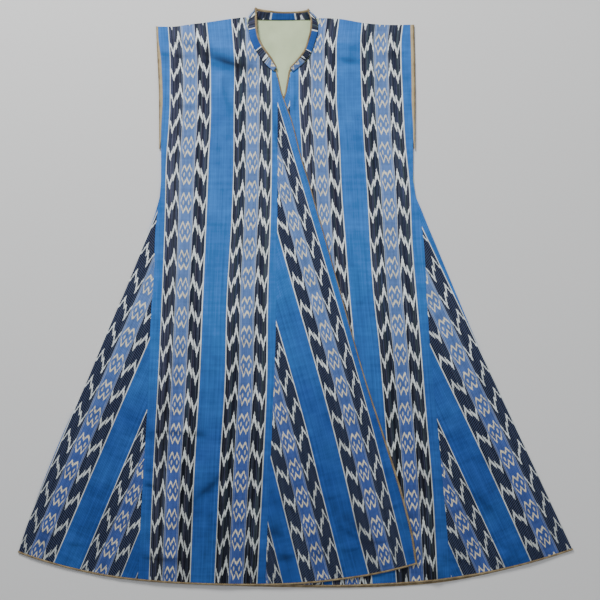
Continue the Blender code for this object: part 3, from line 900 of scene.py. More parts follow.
# Columns: distance right of the band's middle (mm), place down the repeat, half thickness
FLAME = (
    (-46.5, 0.36, 0.06), (-43.5, 0.47, 0.075), (-41.0, 0.62, 0.09), (-37.4, 0.80, 0.135),
    (-34.5, 0.61, 0.095), (-31.4, 0.42, 0.09), (-30.7, 0.54, 0.10), (-29.2, 0.50, 0.11),
    (-26.4, 0.33, 0.11), (-24.4, 0.17, 0.145), (-23.0, 0.095, 0.175), (-21.4, 0.21, 0.14),
    (-19.5, 0.37, 0.10), (-17.5, 0.50, 0.085), (-14.0, 0.70, 0.07), (14.0, 0.66, 0.07),
    (16.0, 0.53, 0.09), (18.7, 0.31, 0.11), (20.6, 0.16, 0.15), (22.5, 0.07, 0.185),
    (24.0, 0.17, 0.15), (26.0, 0.30, 0.12), (28.6, 0.44, 0.10), (29.8, 0.50, 0.09),
    (30.5, 0.31, 0.10), (32.5, 0.38, 0.115), (35.0, 0.54, 0.12), (37.8, 0.70, 0.14),
    (40.6, 0.52, 0.10), (43.5, 0.34, 0.07), (46.5, 0.22, 0.06),
)
FLAME_MIDDLE = 0.385
THICKEST = 0.25
# Columns: distance from the band's middle (mm), distance from the figure's middle (repeats)
FIGURE = ((0.0, 0.13), (3.0, 0.235), (6.0, 0.335), (8.6, 0.225), (11.2, 0.11), (12.0, 0.08))

band, given = new_group("ikat band", [
    ("Across", "Float", None), ("Count", "Float", None), ("Figure place", "Float", 0.385),
    ("Lean", "Float", 0.14), ("Squeeze", "Float", 0.0),
])
print("flame charted at", len(FLAME), "places, figure at", len(FIGURE))

# %% Group: ikat band, across it and down it
BY_BUNDLE = 0.65
BUNDLE_SLIP = 0.050
YARN_SLIP = 0.035
DRIFT = 0.11
DRIFT_PATCHES = (260.0, 0.7)


def from_middle(across):
    """Distance right of the middle of the nearest band."""
    return across.calc("FLOORED_MODULO", STRIPE_REPEAT) - HALF_BAND


def from_motif(count, place):
    """Distance, in repeats, from the nearest motif's place."""
    return abs((count - place + 0.5).calc("FRACT") - 0.5)


thread = use_group(band, yarns, {"Across": given["Across"]})
signed = from_middle(given["Across"])
exact = abs(signed)
charted = signed * (1 - BY_BUNDLE) + from_middle(thread["Bundle middle"]) * BY_BUNDLE
drift_place = add_node(band, "ShaderNodeCombineXYZ", {"X": given["Across"] * DRIFT_PATCHES[0],
                                                      "Y": given["Count"] * DRIFT_PATCHES[1]})
drift = noise_at(drift_place, 1.0, 1.0, "2D")
count = given["Count"] + (thread["Bundle"] * BUNDLE_SLIP + thread["Yarn"] * YARN_SLIP
                          + (drift - 0.5) * DRIFT)
print("ikat band so far:", len(band.nodes), "nodes")

# %% Group: ikat band, the flames
FLAME_FULLNESS = 0.93
FLAME_EDGE = 0.020
FIRST_BAND_EDGE = 0.001


def flame_chart(column, scale, first):
    """Read one column of the flame's chart."""
    rows = [(0.5 + row[0] * MM / CHART_WIDTH, row[column] / scale) for row in FLAME]
    return chart(charted / CHART_WIDTH + 0.5, [(0.0, first)] + rows + [(1.0, 0.2)])


right_side = signed.calc("GREATER_THAN", 0.0)
first_band = below(given["Across"], STRIPE_REPEAT - GROUND / 2, FIRST_BAND_EDGE)
lean = (first_band - 0.5) * given["Lean"] * right_side
flame_down = flame_chart(1, 1.0, 0.3)
flame_down = flame_down - right_side * given["Squeeze"] * (flame_down - FLAME_MIDDLE)
flame_half = flame_chart(2, THICKEST, 0.2) * ((1 - given["Squeeze"]) * (THICKEST * FLAME_FULLNESS))
flame = below(from_motif(count + lean, flame_down), flame_half, FLAME_EDGE)
print("ikat band with its flames:", len(band.nodes), "nodes")

# %% Group: ikat band, the figure and its two dots
FIGURE_WIDTH = 0.0118
FIGURE_SIDE = 0.0004
FIGURE_LINE = 0.047
FIGURE_EDGE = 0.024
DOT_PLACE = 0.0060
DOT_WIDTH = 0.0016
DOT_LENGTH = 0.080
DOT_EDGE = 0.4
DOT_STRENGTH = 0.7
WARP_EDGE = 0.0003

aside = abs(charted)
figure_rise = chart(aside / CHART_WIDTH,
                    [(q * MM / CHART_WIDTH, h) for q, h in FIGURE] + [(1.0, 0.0)])
figure_far = from_motif(count, given["Figure place"])
figure = below(abs(figure_far - figure_rise), FIGURE_LINE, FIGURE_EDGE)
figure = figure * below(aside, FIGURE_WIDTH, FIGURE_SIDE)
dot_across, dot_down = (exact - DOT_PLACE) / DOT_WIDTH, figure_far / DOT_LENGTH
dots = below(dot_across * dot_across + dot_down * dot_down, 1.0, DOT_EDGE) * DOT_STRENGTH
print("ikat band with its figure:", len(band.nodes), "nodes")

# %% Group: ikat band, its zones and lines
MID_ZONE = 0.0158
BAND_OVERLAP = 0.0004
# Each line's distance from the band's middle, and half its width
EDGE_LINE = (0.0461, 0.0012)
BORDER_LINE = (0.0160, 0.0006)
INNER_LINE = (0.0128, 0.0005)
INNER_STRENGTH = 0.55


def line_at(place, half):
    """A thin line along the warp, on both sides of the band's middle."""
    return below(abs(exact - place), half, WARP_EDGE)


in_middle = below(exact, MID_ZONE, WARP_EDGE)
in_band = below(exact, HALF_BAND + BAND_OVERLAP, WARP_EDGE)
finish_group(band, [
    ("Ground", "Float", 1.0 - in_band), ("Middle", "Float", in_middle),
    ("Flame", "Float", flame * (1.0 - in_middle)),
    ("Figure", "Float", figure.calc("MAXIMUM", dots) * in_middle),
    ("Line", "Float", line_at(*EDGE_LINE)),
    ("Border", "Float",
     line_at(*BORDER_LINE).calc("MAXIMUM", line_at(*INNER_LINE) * INNER_STRENGTH)),
])

# %% [markdown]
# ## The dyed colours
# Indigo gives three blues here: the clear ground, a paler blue in the middle of the band, and a
# blue-black in its dark zones, streaked where a bundle took less dye. The undyed yarn is cream.
# The colour is painted a little lighter over the shoulders and darker towards the hem, as the light
# falls off down the garment. An even colour would look printed, so noise at several scales varies
# the tone: clouds of wear, bars along the weft and streaks along the warp. A last input darkens the
# colour with painted shade along the creases and round the collar's back, and with a few stains.

# %% Group: dyed cloth, colours and inputs
GROUND_BLUE = colour(52, 112, 186)
# Each deep colour also serves as painted shade towards the hem
DEEP_GROUND = colour(37, 79, 152)
NIGHT = colour(28, 31, 47)
DEEP_NIGHT = colour(4, 6, 14)
NIGHT_STREAK = colour(81, 91, 114)
MIDDLE_BLUE = colour(92, 123, 178)
DEEP_MIDDLE = colour(62, 88, 154)
CREAM = colour(235, 243, 242)
AGED_AND_SHADED_CREAM = colour(170, 175, 170)
FIGURE_CREAM = colour(243, 234, 198)

dyed, given = new_group("dyed cloth", [
    ("Ikat", "Vector", None), ("Cloth", "Vector", None), ("Place", "Vector", None),
    ("Depth", "Float", 0.0), ("Shade and soil", "Float", 0.0), ("Figure place", "Float", 0.385),
    ("Lean", "Float", 0.14), ("Squeeze", "Float", 0.0),
])
split = split_xyz(given["Ikat"])
fitting = {key: given[key] for key in ("Figure place", "Lean", "Squeeze")}
masks = use_group(dyed, band, {"Across": split["X"], "Count": split["Y"], **fitting})
thread = use_group(dyed, yarns, {"Across": split["X"]})
print("the band's masks:", *masks)

# %% Group: dyed cloth, how the dye lies
MOTTLES = 9.0
CLOUDS = 34.0
TINT_SHARE = 0.22

down_cloth = split_xyz(given["Place"])["Y"]
# Low and fall rise towards the hem; they paint the shade where the light falls off
low = add_node(dyed, "ShaderNodeMapRange",
               {"Value": down_cloth, "From Min": 0.08, "From Max": -0.42},
               interpolation_type="SMOOTHSTEP")
fall = add_node(dyed, "ShaderNodeMapRange",
                {"Value": down_cloth, "From Min": 0.05, "From Max": -0.62})
mottle = noise_at(given["Place"], MOTTLES, 3.0)
cloud = noise_at(given["Place"], CLOUDS, 4.0)
streaks = noise_along(given["Cloth"], 900.0, 14.0, 2.0)
broad = noise_along(given["Cloth"], 240.0, 4.0, 2.0)
bars = noise_along(given["Cloth"], 9.0, 130.0, 3.0)

# The ground is painted deeper towards the hem as shade, by the piece's own depth, and in mottled
# patches
deep = clamped(low * 0.80 + given["Depth"] + (mottle - 0.5) * 1.4)
ground = blend(dyed, deep, GROUND_BLUE, DEEP_GROUND)
# The night is streaked where a bundle took less dye, a little less so near the hem, where it is also
# painted darker as shade
streak = clamped(broad * 1.3 + thread["Bundle"] * 0.7 - (low * 0.12 + 0.34))
night = blend(dyed, streak, blend(dyed, low, NIGHT, DEEP_NIGHT), NIGHT_STREAK)
night = blend(dyed, TINT_SHARE, night, thread["Tint"], "OVERLAY")
# The middle blue is painted darker towards the hem as shade
middle_blue = blend(dyed, low, MIDDLE_BLUE, DEEP_MIDDLE)
# The cream ages in patches, and is painted darker towards the hem as shade
cream = blend(dyed, clamped(mottle * 0.9 + (fall * 0.6 - 0.45)), CREAM, AGED_AND_SHADED_CREAM)
print("dyed cloth so far:", len(dyed.nodes), "nodes")

# %% Group: dyed cloth, its layers and tone
# Columns: mask, how strong it is, its colour; a later row lies over an earlier one
LAYERS = (
    ("Middle", 1.0, middle_blue), ("Figure", 0.9, FIGURE_CREAM), ("Flame", 1.0, cream),
    ("Ground", 1.0, ground), ("Border", 0.55, cream), ("Line", 0.9, cream),
)
# Columns: noise, how much it lightens or darkens
TONES = ((streaks, 0.30), (broad, 0.50), (bars, 0.36), (cloud, 0.60))

tint = night
for mask, strength, over in LAYERS:
    tint = blend(dyed, masks[mask] * strength, tint, over)
tone = thread["Yarn"] * 0.10 + 1.0
for patches, amount in TONES:
    tone = tone + (patches - 0.5) * amount
# Painted shade: the tone falls towards the hem, and the attribute darkens it along the creases,
# round the collar's back and at a few stains
tone = (tone - fall * 0.24) * (1.0 - given["Shade and soil"])
undyed = masks["Flame"].calc("MAXIMUM", masks["Line"])
plain = masks["Ground"].calc("MAXIMUM", masks["Middle"]).calc("MAXIMUM", undyed)
finish_group(dyed, [
    ("Color", "Color", scaled(tint, tone)), ("Undyed", "Float", undyed),
    ("Night", "Float", 1.0 - plain),
])

# %% [markdown]
# ## The weave
# The warp covers the weft, so the surface shows fine lengthwise yarns over low crosswise ribs.
# Ribs are a sine of the pattern's down, yarns a sine of its across, both broken up by noise. The
# result is a height in metres for the Bump node of each cloth.

# %% Group: weave
RIB_HEIGHT = 0.000035
YARN_HEIGHT = 0.000012
SLUB_HEIGHT = 0.00014
RIB_WANDER = 0.3
TURN = 2 * math.pi

weave, given = new_group("weave", [
    ("Cloth", "Vector", None), ("Rib", "Float", 0.0014), ("Yarn", "Float", 0.00045),
    ("Slant", "Float", 0.0),
])
split = split_xyz(given["Cloth"])
slubs = noise_at(given["Cloth"], 160.0, 2.0, "2D")
rib = (split["Y"] - split["X"] * given["Slant"]) / given["Rib"] + slubs * RIB_WANDER
rib = (rib * TURN).calc("SINE")
yarn = (split["X"] / given["Yarn"] * TURN).calc("SINE")
finish_group(weave, [
    ("Height", "Float", rib * RIB_HEIGHT + yarn * YARN_HEIGHT + slubs * SLUB_HEIGHT),
    ("Rib mask", "Float", rib * 0.5 + 0.5),
])

# %% [markdown]
# ## The finishes of the cloth
# The ikat has a soft sheen from its long warp floats, so it gets a little sheen and a mid
# roughness. On the gores the weft shows more: it draws a slanting pale hatch over the dark zones.
# The lining is a plain matt cotton. The groups give colours and heights; the shaders stay in the
# materials.

# %% Start a material
def start_material(name, roughness, sheen=0.0):
    """Start a material and return its tree and shader."""
    material = bpy.data.materials.new(name)
    material.use_nodes = True
    shader = material.node_tree.nodes["Principled BSDF"]
    shader.inputs["Roughness"].default_value = roughness
    shader.inputs["Sheen Weight"].default_value = sheen
    shader.inputs["Sheen Roughness"].default_value = 0.5
    shader.inputs["Specular IOR Level"].default_value = 0.14
    return material, material.node_tree, shader


def read_uv(tree, name):
    """Read one of the piece's own UV maps."""
    return add_node(tree, "ShaderNodeUVMap", uv_map=name)


def read_place(tree):
    """Read the place on the piece."""
    return read_all(place_node(tree, "ShaderNodeTexCoord"))["Object"]


def feed(shader, **readings):
    """Connect readings to the shader: a tint, a roughness, or a height in metres for its bump."""
    tree = shader.id_data
    if "height" in readings:
        readings["normal"] = add_node(tree, "ShaderNodeBump", {"Height": readings.pop("height"),
                                                               "Strength": 1.0, "Distance": 1.0})
    sockets = {"tint": "Base Color", "roughness": "Roughness", "normal": "Normal"}
    for key, value in readings.items():
        tree.links.new(value.socket, shader.inputs[sockets[key]])


# %% Ikat and lining
HATCH_LINE = colour(71, 85, 122)
LINING_PALE = colour(208, 222, 184)
LINING_SOILED = colour(182, 197, 158)


def ikat_material(name, depth, rib=0.0015, slant=0.0, hatch=0.08, figure=0.385, lean=0.14,
                  squeeze=0.0):
    """Ikat with a deeper ground, ribs of the given width, and a pale hatch on its dark zones."""
    material, tree, shader = start_material(name, 0.62, 0.02)
    cloth = read_uv(tree, "cloth")
    # The attribute paints shade along the creases and round the collar's back, and a few stains
    shade_and_soil = read_all(place_node(tree, "ShaderNodeAttribute", attribute_name="shade_and_soil"))["Fac"]
    look = use_group(tree, dyed, {
        "Ikat": read_uv(tree, "ikat"), "Cloth": cloth, "Place": read_place(tree), "Depth": depth,
        "Shade and soil": shade_and_soil, "Figure place": figure, "Lean": lean, "Squeeze": squeeze})
    surface = use_group(tree, weave, {"Cloth": cloth, "Rib": rib, "Slant": slant})
    tint = scaled(look["Color"], surface["Rib mask"] * 0.14 + 0.92)
    zone = look["Night"] * hatch
    tint = blend(tree, zone, tint, DEEP_NIGHT)
    tint = blend(tree, surface["Rib mask"].calc("POWER", 2.2) * zone, tint, HATCH_LINE)
    feed(shader, tint=tint, roughness=look["Undyed"] * 0.10 + 0.58, height=surface["Height"])
    return material


def lining_material():
    """Plain undyed cotton, faintly soiled."""
    material, tree, shader = start_material("lining cotton", 0.85, 0.10)
    surface = use_group(tree, weave,
                        {"Cloth": read_uv(tree, "cloth"), "Rib": 0.0009, "Yarn": 0.0009})
    tint = blend(tree, noise_at(read_place(tree), 22.0, 4.0), LINING_PALE, LINING_SOILED)
    feed(shader, tint=scaled(tint, surface["Rib mask"] * 0.08 + 0.94), height=surface["Height"])
    return material


body_ikat = ikat_material("ikat of the body", 0.0)
gore_ikat = ikat_material("ikat of the gores", 0.16, rib=0.0052, slant=0.55, hatch=0.66, figure=0.45,
                          lean=0.0, squeeze=0.18)
collar_ikat = ikat_material("ikat of the collar", 0.85)
cotton = lining_material()
print("finishes:", body_ikat.name, gore_ikat.name, collar_ikat.name, cotton.name, sep=", ")

# %% [markdown]
# ## The panels
# The back lies lowest, then the lining inside the neck, the left front with its gores, and the
# right front over it. Panels that are hidden are cut with a coarser grid. The ikat is the outside
# of the garment: it faces down on the back and up on the fronts, and the other side is lining.

# %% Lay the back and the lining
LINING_CELL = 0.004
LINING_WALL = 0.001
LINING_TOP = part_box("neck_lining")[1][2]


def lining_height(across, drop):
    """The lining cockles a little."""
    return LINING_TOP + np.maximum(cockle(across * 2, drop * 2, 21.0), -0.0003)


cloth_shell("back", "back_panel", back_height, COARSE_CELL, [body_ikat, cotton])
cloth_shell("back_gore_of_right", "back_gore_right", back_height, COARSE_CELL, [gore_ikat, cotton])
cloth_shell("back_gore_of_left", "back_gore_left", back_height, COARSE_CELL, [gore_ikat, cotton])
cloth_shell("lining_of_neck", "neck_lining", lining_height, LINING_CELL, [cotton], LINING_WALL)

# %% Lay the fronts and their gores
cloth_shell("front_of_left", "left_front", under_height, FINE_CELL, [body_ikat, cotton])
cloth_shell("underlap_gore", "left_front_gore", under_height, COARSE_CELL, [gore_ikat, cotton])
cloth_shell("side_gore_of_left", "left_side_gore", under_height, FINE_CELL, [gore_ikat, cotton])
cloth_shell("front_of_right", "right_front", over_height, FINE_CELL, [body_ikat, cotton])
cloth_shell("overlap_gore", "right_front_gore", over_height, FINE_CELL, [gore_ikat, cotton])
cloth_shell("side_gore_of_right", "right_side_gore", over_height, FINE_CELL, [gore_ikat, cotton])

# %% [markdown]
# ## The collar
# A stiff band stands up round the neck and leans back on the shoulders. It is cut across the
# stripes, so the bands cross it. The rows give its lower and upper edge from the end of the right
# front round to the end of the left one, and a smooth line runs through each column of the rows.

# %% Where the collar stands
# Columns (mm): lower across, drop, height, then upper across, drop, height
COLLAR_ROWS = (
    (-50, 144, 7.2, -41.8, 135, 8.8), (-66, 130, 6.0, -54, 114, 9.8),
    (-79, 113, 5.5, -65, 99, 10.3), (-91, 95, 5.5, -75, 84, 10.4), (-101, 73, 5.5, -83, 65, 10.4),
    (-105, 53, 5.4, -86, 49, 10.2), (-107.5, 36, 5.2, -87, 29, 9.6),
    (-104, 24, 4.8, -88, 2.6, 8.6), (-105.5, 22.5, 3.4, -90, 0.2, 7.2),
    (-104, 24, 2.1, -88, 2.2, 5.9), (-88, 27.6, 2.5, -79, 4.8, 6.2),
    (-57, 28.4, 2.5, -53, 8.8, 6.8), (-26, 28.8, 2.5, -26, 11, 7.0),
    (5.6, 28.4, 2.5, 1, 10.2, 6.8), (32, 27.6, 2.5, 20, 8, 6.2), (46, 25, 2.1, 27, 5.5, 5.9),
    (47.5, 23.5, 3.4, 29, 3.5, 7.2), (46, 25, 4.8, 27, 6, 8.6), (50, 37, 5.2, 34, 30, 9.6),
    (50, 54, 5.4, 33, 51, 10.2), (43, 81, 5.5, 27, 75, 10.4), (33, 107, 5.5, 18, 99, 10.4),
    (17, 127, 5.5, 4.5, 117, 9.8), (-5.8, 145.6, 5.0, -13.2, 136, 7.4),
)
COLLAR_HEIGHT = 0.020

collar_middles = [Vector((a + d, b + e, c + f)) / 2 * MM for a, b, c, d, e, f in COLLAR_ROWS]
collar_places = [0.0]
for before, after in zip(collar_middles, collar_middles[1:]):
    collar_places.append(collar_places[-1] + (after - before).length)
collar_columns = [line_through([(place, row[i] * MM)
                                for place, row in zip(collar_places, COLLAR_ROWS)])
                  for i in range(6)]
COLLAR_LENGTH = collar_places[-1]


def collar_point(place, share):
    """Points of the collar's middle surface, at lengths along it and shares of its height."""
    la, ld, lh, ua, ud, uh = [line(place) for line in collar_columns]
    return np.stack([la + share * (ua - la), TOP - ld - share * (ud - ld), lh + share * (uh - lh)],
                    axis=-1)


print(f"collar {COLLAR_LENGTH:.3f} m round")

# %% [markdown]
# ## The collar's cloth
# The stripes were read where they cross the collar, row by row. The collar's colour is painted
# darker round the back of the neck, as the shade inside its standing back. Solidify gives it a wall
# at the end, because its two sides are alike. The braid covers its raw upper edge, so the cloth
# stops inside the braid.

# %% Make the collar
COLLAR_WALL = 0.0016
COLLAR_CELL = 0.0018
COLLAR_CELLS_UP = 8
BRAID_WIDTH = 0.0040
TOP_SHARE = 1 - (BRAID_WIDTH - 0.0004) / COLLAR_HEIGHT
RIPPLE = 0.0005
# Columns: row of the collar, pattern's across (mm) there
COLLAR_STRIPES = ((0, -101), (1.25, -85), (2.85, -54), (5.1, 0), (11.05, 93.4), (12.8, 147.4),
                  (19.05, 240.8), (20.75, 294.8), (21.8, 326), (23, 351))
# Columns: row of the collar, count of motifs at its lower edge
COLLAR_COUNTS = ((0, 0.92), (8.6, 0.88), (10.5, 0.70), (14.0, 0.70), (15.6, 0.88), (23, 0.92))
# Columns: row where the painted shade of the back starts and ends, and the length of its fade
COLLAR_BACK = (9.5, 15.5, 0.8)
# Share of its light that the collar loses, and how much more it loses at its back as painted shade
COLLAR_LOSS, BACK_SHADE_LOSS = 0.06, 0.20


def make_collar():
    """The collar below its braid."""
    bm, share, down = unit_grid(COLLAR_CELLS_UP, math.ceil(COLLAR_LENGTH / COLLAR_CELL))
    share, place = share * TOP_SHARE, down * COLLAR_LENGTH
    points = collar_point(place, share)
    ripples = [noise.noise(Vector((along * 45, part * 1.5, 4.0)))
               for along, part in zip(place, share)]
    points[:, 2] += RIPPLE * np.array(ripples) * (1 - share)
    row = np.interp(place, collar_places, range(len(collar_places)))
    start, end, fade = COLLAR_BACK
    at_back = ease((row - start) / fade) * ease((end - row) / fade)
    write_points(bm, points, COLLAR_LOSS + BACK_SHADE_LOSS * at_back)
    across, up = np.interp(row, *zip(*COLLAR_STRIPES)) * MM, share * COLLAR_HEIGHT
    count = np.interp(row, *zip(*COLLAR_COUNTS)) + up / MOTIF
    write_uvs(bm, cloth=(across, up), ikat=(across, count))
    bmesh.ops.recalc_face_normals(bm, faces=bm.faces[:])
    piece = add_piece("stand_collar", bm, [collar_ikat])
    wall = piece.modifiers.new("wall", "SOLIDIFY")
    wall.thickness = COLLAR_WALL
    wall.offset = 0
    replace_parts(piece, "collar")
    print("collar:", len(piece.data.polygons), "cells")


make_collar()

# %% [markdown]
# ## The braid
# Every edge is bound with a narrow braid plaited from brown and cream threads. A flat strip with a
# picture of plaiting would look dead from the side, so the strip is a fine grid, crowned across its
# width and raised in small chevrons, and its colour follows the same chevrons. Round the front
# armholes the braid is wider, and its inner side is cream.

# %% Braid finish
PLAIT = 0.0026
CHEVRON = 1.6
BRAID_BROWN = colour(74, 54, 32)
BRAID_CREAM = colour(190, 172, 132)


def braid_material(name, cream_side):
    """Brown and cream threads in chevrons, creamier on the inner side by the given amount."""
    material, tree, shader = start_material(name, 0.6, 0.15)
    split = split_xyz(read_uv(tree, "cloth"))
    aside = abs(split["X"] - 0.5)
    wave = ((split["Y"] / PLAIT + aside * CHEVRON) * TURN).calc("SINE")
    place = read_place(tree)
    wear = noise_at(place, 60.0, 3.0)
    inner = 1.0 - below(split["X"], 0.42, 0.14)
    pale = clamped(inner * cream_side + (wave * 0.34 + (wear - 0.12)))
    fibre = noise_at(place, 2600.0, 2.0)
    feed(shader, tint=blend(tree, pale, BRAID_BROWN, BRAID_CREAM), height=fibre * 0.0001)
    return material


brown_braid = braid_material("plaited braid", 0.0)
armhole_braid = braid_material("plaited braid of the armholes", 0.55)
print("finishes:", brown_braid.name, armhole_braid.name, sep=", ")

# %% Make a plaited strip
PLAIT_STEP = 0.00085
PLAIT_RELIEF = 0.00022
BRAID_COLUMNS = 6


def plaited_strip(name, node, length, surface, finish):
    """A plaited strip. Surface gives the places of its base and its thickness there."""
    bm, share, down = unit_grid(BRAID_COLUMNS, math.ceil(length / PLAIT_STEP))
    down = down * length
    aside = np.abs(share - 0.5)
    base, wall = surface(down, share)
    wave = 0.5 + 0.5 * np.sin(TURN * (down / PLAIT + aside * CHEVRON))
    raised = wall + PLAIT_RELIEF * wave * (1 - 2 * aside)
    write_uvs(bm, cloth=(share, down))
    for vertex, target in zip(bm.verts, base):
        vertex.co = target
    bmesh.ops.extrude_face_region(bm, geom=bm.faces[:], use_keep_orig=True)
    bm.verts.ensure_lookup_table()
    for vertex, rise in zip(bm.verts[:len(raised)], raised):
        vertex.co.z += rise
    bmesh.ops.recalc_face_normals(bm, faces=bm.faces[:])
    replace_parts(add_piece(name, bm, [finish]), node)
    print(f"{name}: {length:.3f} m")


# %% The shape of a braid
BRAID_WALL = 0.0015
BACK_BRAID_WALL = 0.0010
COLLAR_BRAID_WALL = 0.0018
RIM = 0.25
WIDE_REACH = 0.0042
WIDEN_LENGTH = 0.06
THIN_LENGTH = 0.09
THIN_END = 0.290
NARROWEST = 0.55
FLARE_START = 0.75
FLARE_LENGTH = 0.3


def crowned(share):
    """A narrow strip's thickness across its width."""
    return RIM + (1 - RIM) * np.sqrt(np.maximum(1 - (2 * np.abs(share - 0.5)) ** 2, 0))


def wrapped(share):
    """A wide strip's thickness, rolled round the cloth's edge at 0 and flat on it at 1."""
    roll = np.sqrt(np.maximum(1 - (1 - np.minimum(share / 0.25, 1)) ** 2, 0.02))
    return roll * (1 - 0.28 * np.clip((share - 0.75) / 0.25, 0, 1) ** 2)


def wide_reach(drop, full_from):
    """How far a wide braid reaches on to its cloth."""
    widened = ease(1 + (drop - full_from) / WIDEN_LENGTH)
    return WIDE_REACH * ease((THIN_END - drop) / THIN_LENGTH) * widened


def narrowed(drop):
    """The edge braids are drawn narrow over the chest, and reach their full width at the hem."""
    return NARROWEST + (1 - NARROWEST) * ease((drop - FLARE_START) / FLARE_LENGTH)


def round_edge(across, drop, height, wall):
    """The base of a braid, just under the cloth that it binds and never below the floor."""
    under = WALL + 0.0001 if wall > BACK_BRAID_WALL else BACK_TOP
    return np.stack([across, TOP - drop, np.maximum(height(across, drop) - under, 0)], axis=-1)


print("thickness at a braid's side and middle:", BRAID_WALL * crowned(0), BRAID_WALL * crowned(0.5))

# %% Braids down an edge and along a hem
EDGE_READS = 400
HEM_READS = 500
EDGE_OVERLAP = 0.0003
HEM_OVERLAP = 0.0005
THIN_LOSS = 0.55
# Shares of the collar's height where its braid starts and ends
COLLAR_BRAID_LOW = 1 - 1.3 * BRAID_WIDTH / COLLAR_HEIGHT
COLLAR_BRAID_HIGH = 1.03


def run_of(places, others):
    """Length along a line, at each of its points."""
    return np.concatenate([[0], np.cumsum(np.hypot(np.diff(places), np.diff(others)))])


def edge_braid(name, node, height, wall, wide=0, full_from=0.0, width=narrowed):
    """The braid down an edge. Wide is 1 or -1 where it reaches on to cloth at its right or left,
    and it has its full width below the drop full_from."""
    cut = Outline(node)
    drops = np.linspace(cut.top_left[1], cut.low_left[1], EDGE_READS)
    lengths = run_of(drops, (cut.left(drops) + cut.right(drops)) / 2)

    def surface(down, share):
        drop = np.interp(down, lengths, drops)
        left, right = cut.left(drop) - EDGE_OVERLAP, cut.right(drop) + EDGE_OVERLAP
        if not wide:
            across = left + share * (right - left) * width(drop)
            return round_edge(across, drop, height, wall), wall * crowned(share)
        reach = (right - left) + wide_reach(drop, full_from)
        reach = reach * (1 - THIN_LOSS * ease((drop - THIN_END) / 0.03))
        across = left + share * reach if wide > 0 else right - share * reach
        return round_edge(across, drop, height, wall), (WALL + wall * 0.45) * wrapped(share)

    plaited_strip(name, node, lengths[-1], surface, armhole_braid if wide else brown_braid)


def hem_braid(name, node, height, wall):
    """The braid along a hem."""
    cut = Outline(node)
    spots = np.linspace(cut.top_left[0], cut.top_right[0], HEM_READS)
    lengths = run_of(spots, (cut.top(spots) + cut.hem(spots)) / 2)

    def surface(down, share):
        across = np.interp(down, lengths, spots)
        top = cut.top(across) - HEM_OVERLAP
        drop = top + share * (cut.hem(across) - top)
        return round_edge(across, drop, height, wall), wall * crowned(share)

    plaited_strip(name, node, lengths[-1], surface, brown_braid)


def collar_surface(down, share):
    """The strip that binds the collar's upper edge, over both of its sides."""
    base = collar_point(down, COLLAR_BRAID_LOW + share * (COLLAR_BRAID_HIGH - COLLAR_BRAID_LOW))
    base[:, 2] -= COLLAR_BRAID_WALL / 3
    return base, COLLAR_BRAID_WALL * crowned(share)


# %% Lay the braids
edge_braid("braid_of_overlap", "braid_right_front", over_height, BRAID_WALL)
# The underlap's braid keeps its full width, or a gap would show beside it inside the neck
edge_braid("braid_of_underlap", "braid_left_front", under_height, BRAID_WALL, width=lambda drop: 1)
edge_braid("braid_of_right_armhole", "braid_armhole_right_front", over_height, BRAID_WALL,
           wide=1, full_from=0.125)
edge_braid("braid_of_left_armhole", "braid_armhole_left_front", under_height, BRAID_WALL, wide=-1)
edge_braid("braid_of_right_armhole_back", "braid_armhole_right_back", back_height, BACK_BRAID_WALL)
edge_braid("braid_of_left_armhole_back", "braid_armhole_left_back", back_height, BACK_BRAID_WALL)
hem_braid("braid_of_right_hem", "braid_hem_right", over_height, BRAID_WALL)
hem_braid("braid_of_left_hem", "braid_hem_left", under_height, BRAID_WALL)
hem_braid("braid_of_back_hem", "braid_hem_back", back_height, BACK_BRAID_WALL)
plaited_strip("braid_of_collar", "braid_collar", COLLAR_LENGTH, collar_surface, brown_braid)

# %% [markdown]
# ## Sewing
# The braid is caught down by hand, with one small slanting stitch every few millimetres along its
# inner side, in a thread a little paler than the braid. The hem is turned up and held by tiny
# stitches that show as pricks on the outside. Each stitch is a short thread that lies partly sunk
# in the cloth, and its slant and length vary as hand sewing does.

# %% Stitches
THREAD = 0.00024
THREAD_SIDES = 6
TURN_STEP = 0.001
# The middle of a stitch lies this share of its radius above the cloth
STITCH_LIFT = 0.45
LOOSE_PLACE = 0.3
LOOSE_TURN = 0.25
LOOSE_LENGTH = 0.2


def thread_material(name, tint):
    """Matt cotton thread."""
    material, tree, shader = start_material(name, 0.75, 0.2)
    darker = tuple(channel * 0.6 for channel in tint[:3]) + (1.0,)
    feed(shader, tint=blend(tree, noise_at(read_place(tree), 900.0, 1.0), darker, tint))
    return material


def sew(name, stitch, lines, finish):
    """One object of stitches. A stitch is its slant, its length and the gap to the next one, and a
    line is its places across and down, with the height of the cloth there."""
    slant, length, gap = stitch
    bm = bmesh.new()
    for (across, drop), height in lines:
        runs = run_of(across, drop)
        for number in range(int(runs[-1] / gap)):
            shift = LOOSE_PLACE * noise.noise(Vector((number * 1.7, slant, 2.0)))
            along = (number + 0.5 + shift) * gap
            x, y = np.interp(along, runs, across), np.interp(along, runs, drop)
            ahead = min(along + TURN_STEP, runs[-1])
            turn = math.atan2(np.interp(ahead, runs, drop) - y, np.interp(ahead, runs, across) - x)
            loose = noise.noise(Vector((number * 0.9, 5.0, slant)))
            angle = -(turn + slant + LOOSE_TURN * loose)
            level = float(height(x, y)) + THREAD * STITCH_LIFT
            place = (Matrix.Translation(point(x, y, level)) @ Matrix.Rotation(angle, 4, "Z")
                     @ Matrix.Rotation(math.pi / 2, 4, "Y"))
            bmesh.ops.create_cone(bm, cap_ends=True, segments=THREAD_SIDES, radius1=THREAD,
                                  radius2=THREAD, depth=length * (1 + LOOSE_LENGTH * loose),
                                  matrix=place)
    piece = add_piece(name, bm, [finish])
    print(f"{name}: {len(piece.data.polygons) // (THREAD_SIDES + 2)}")


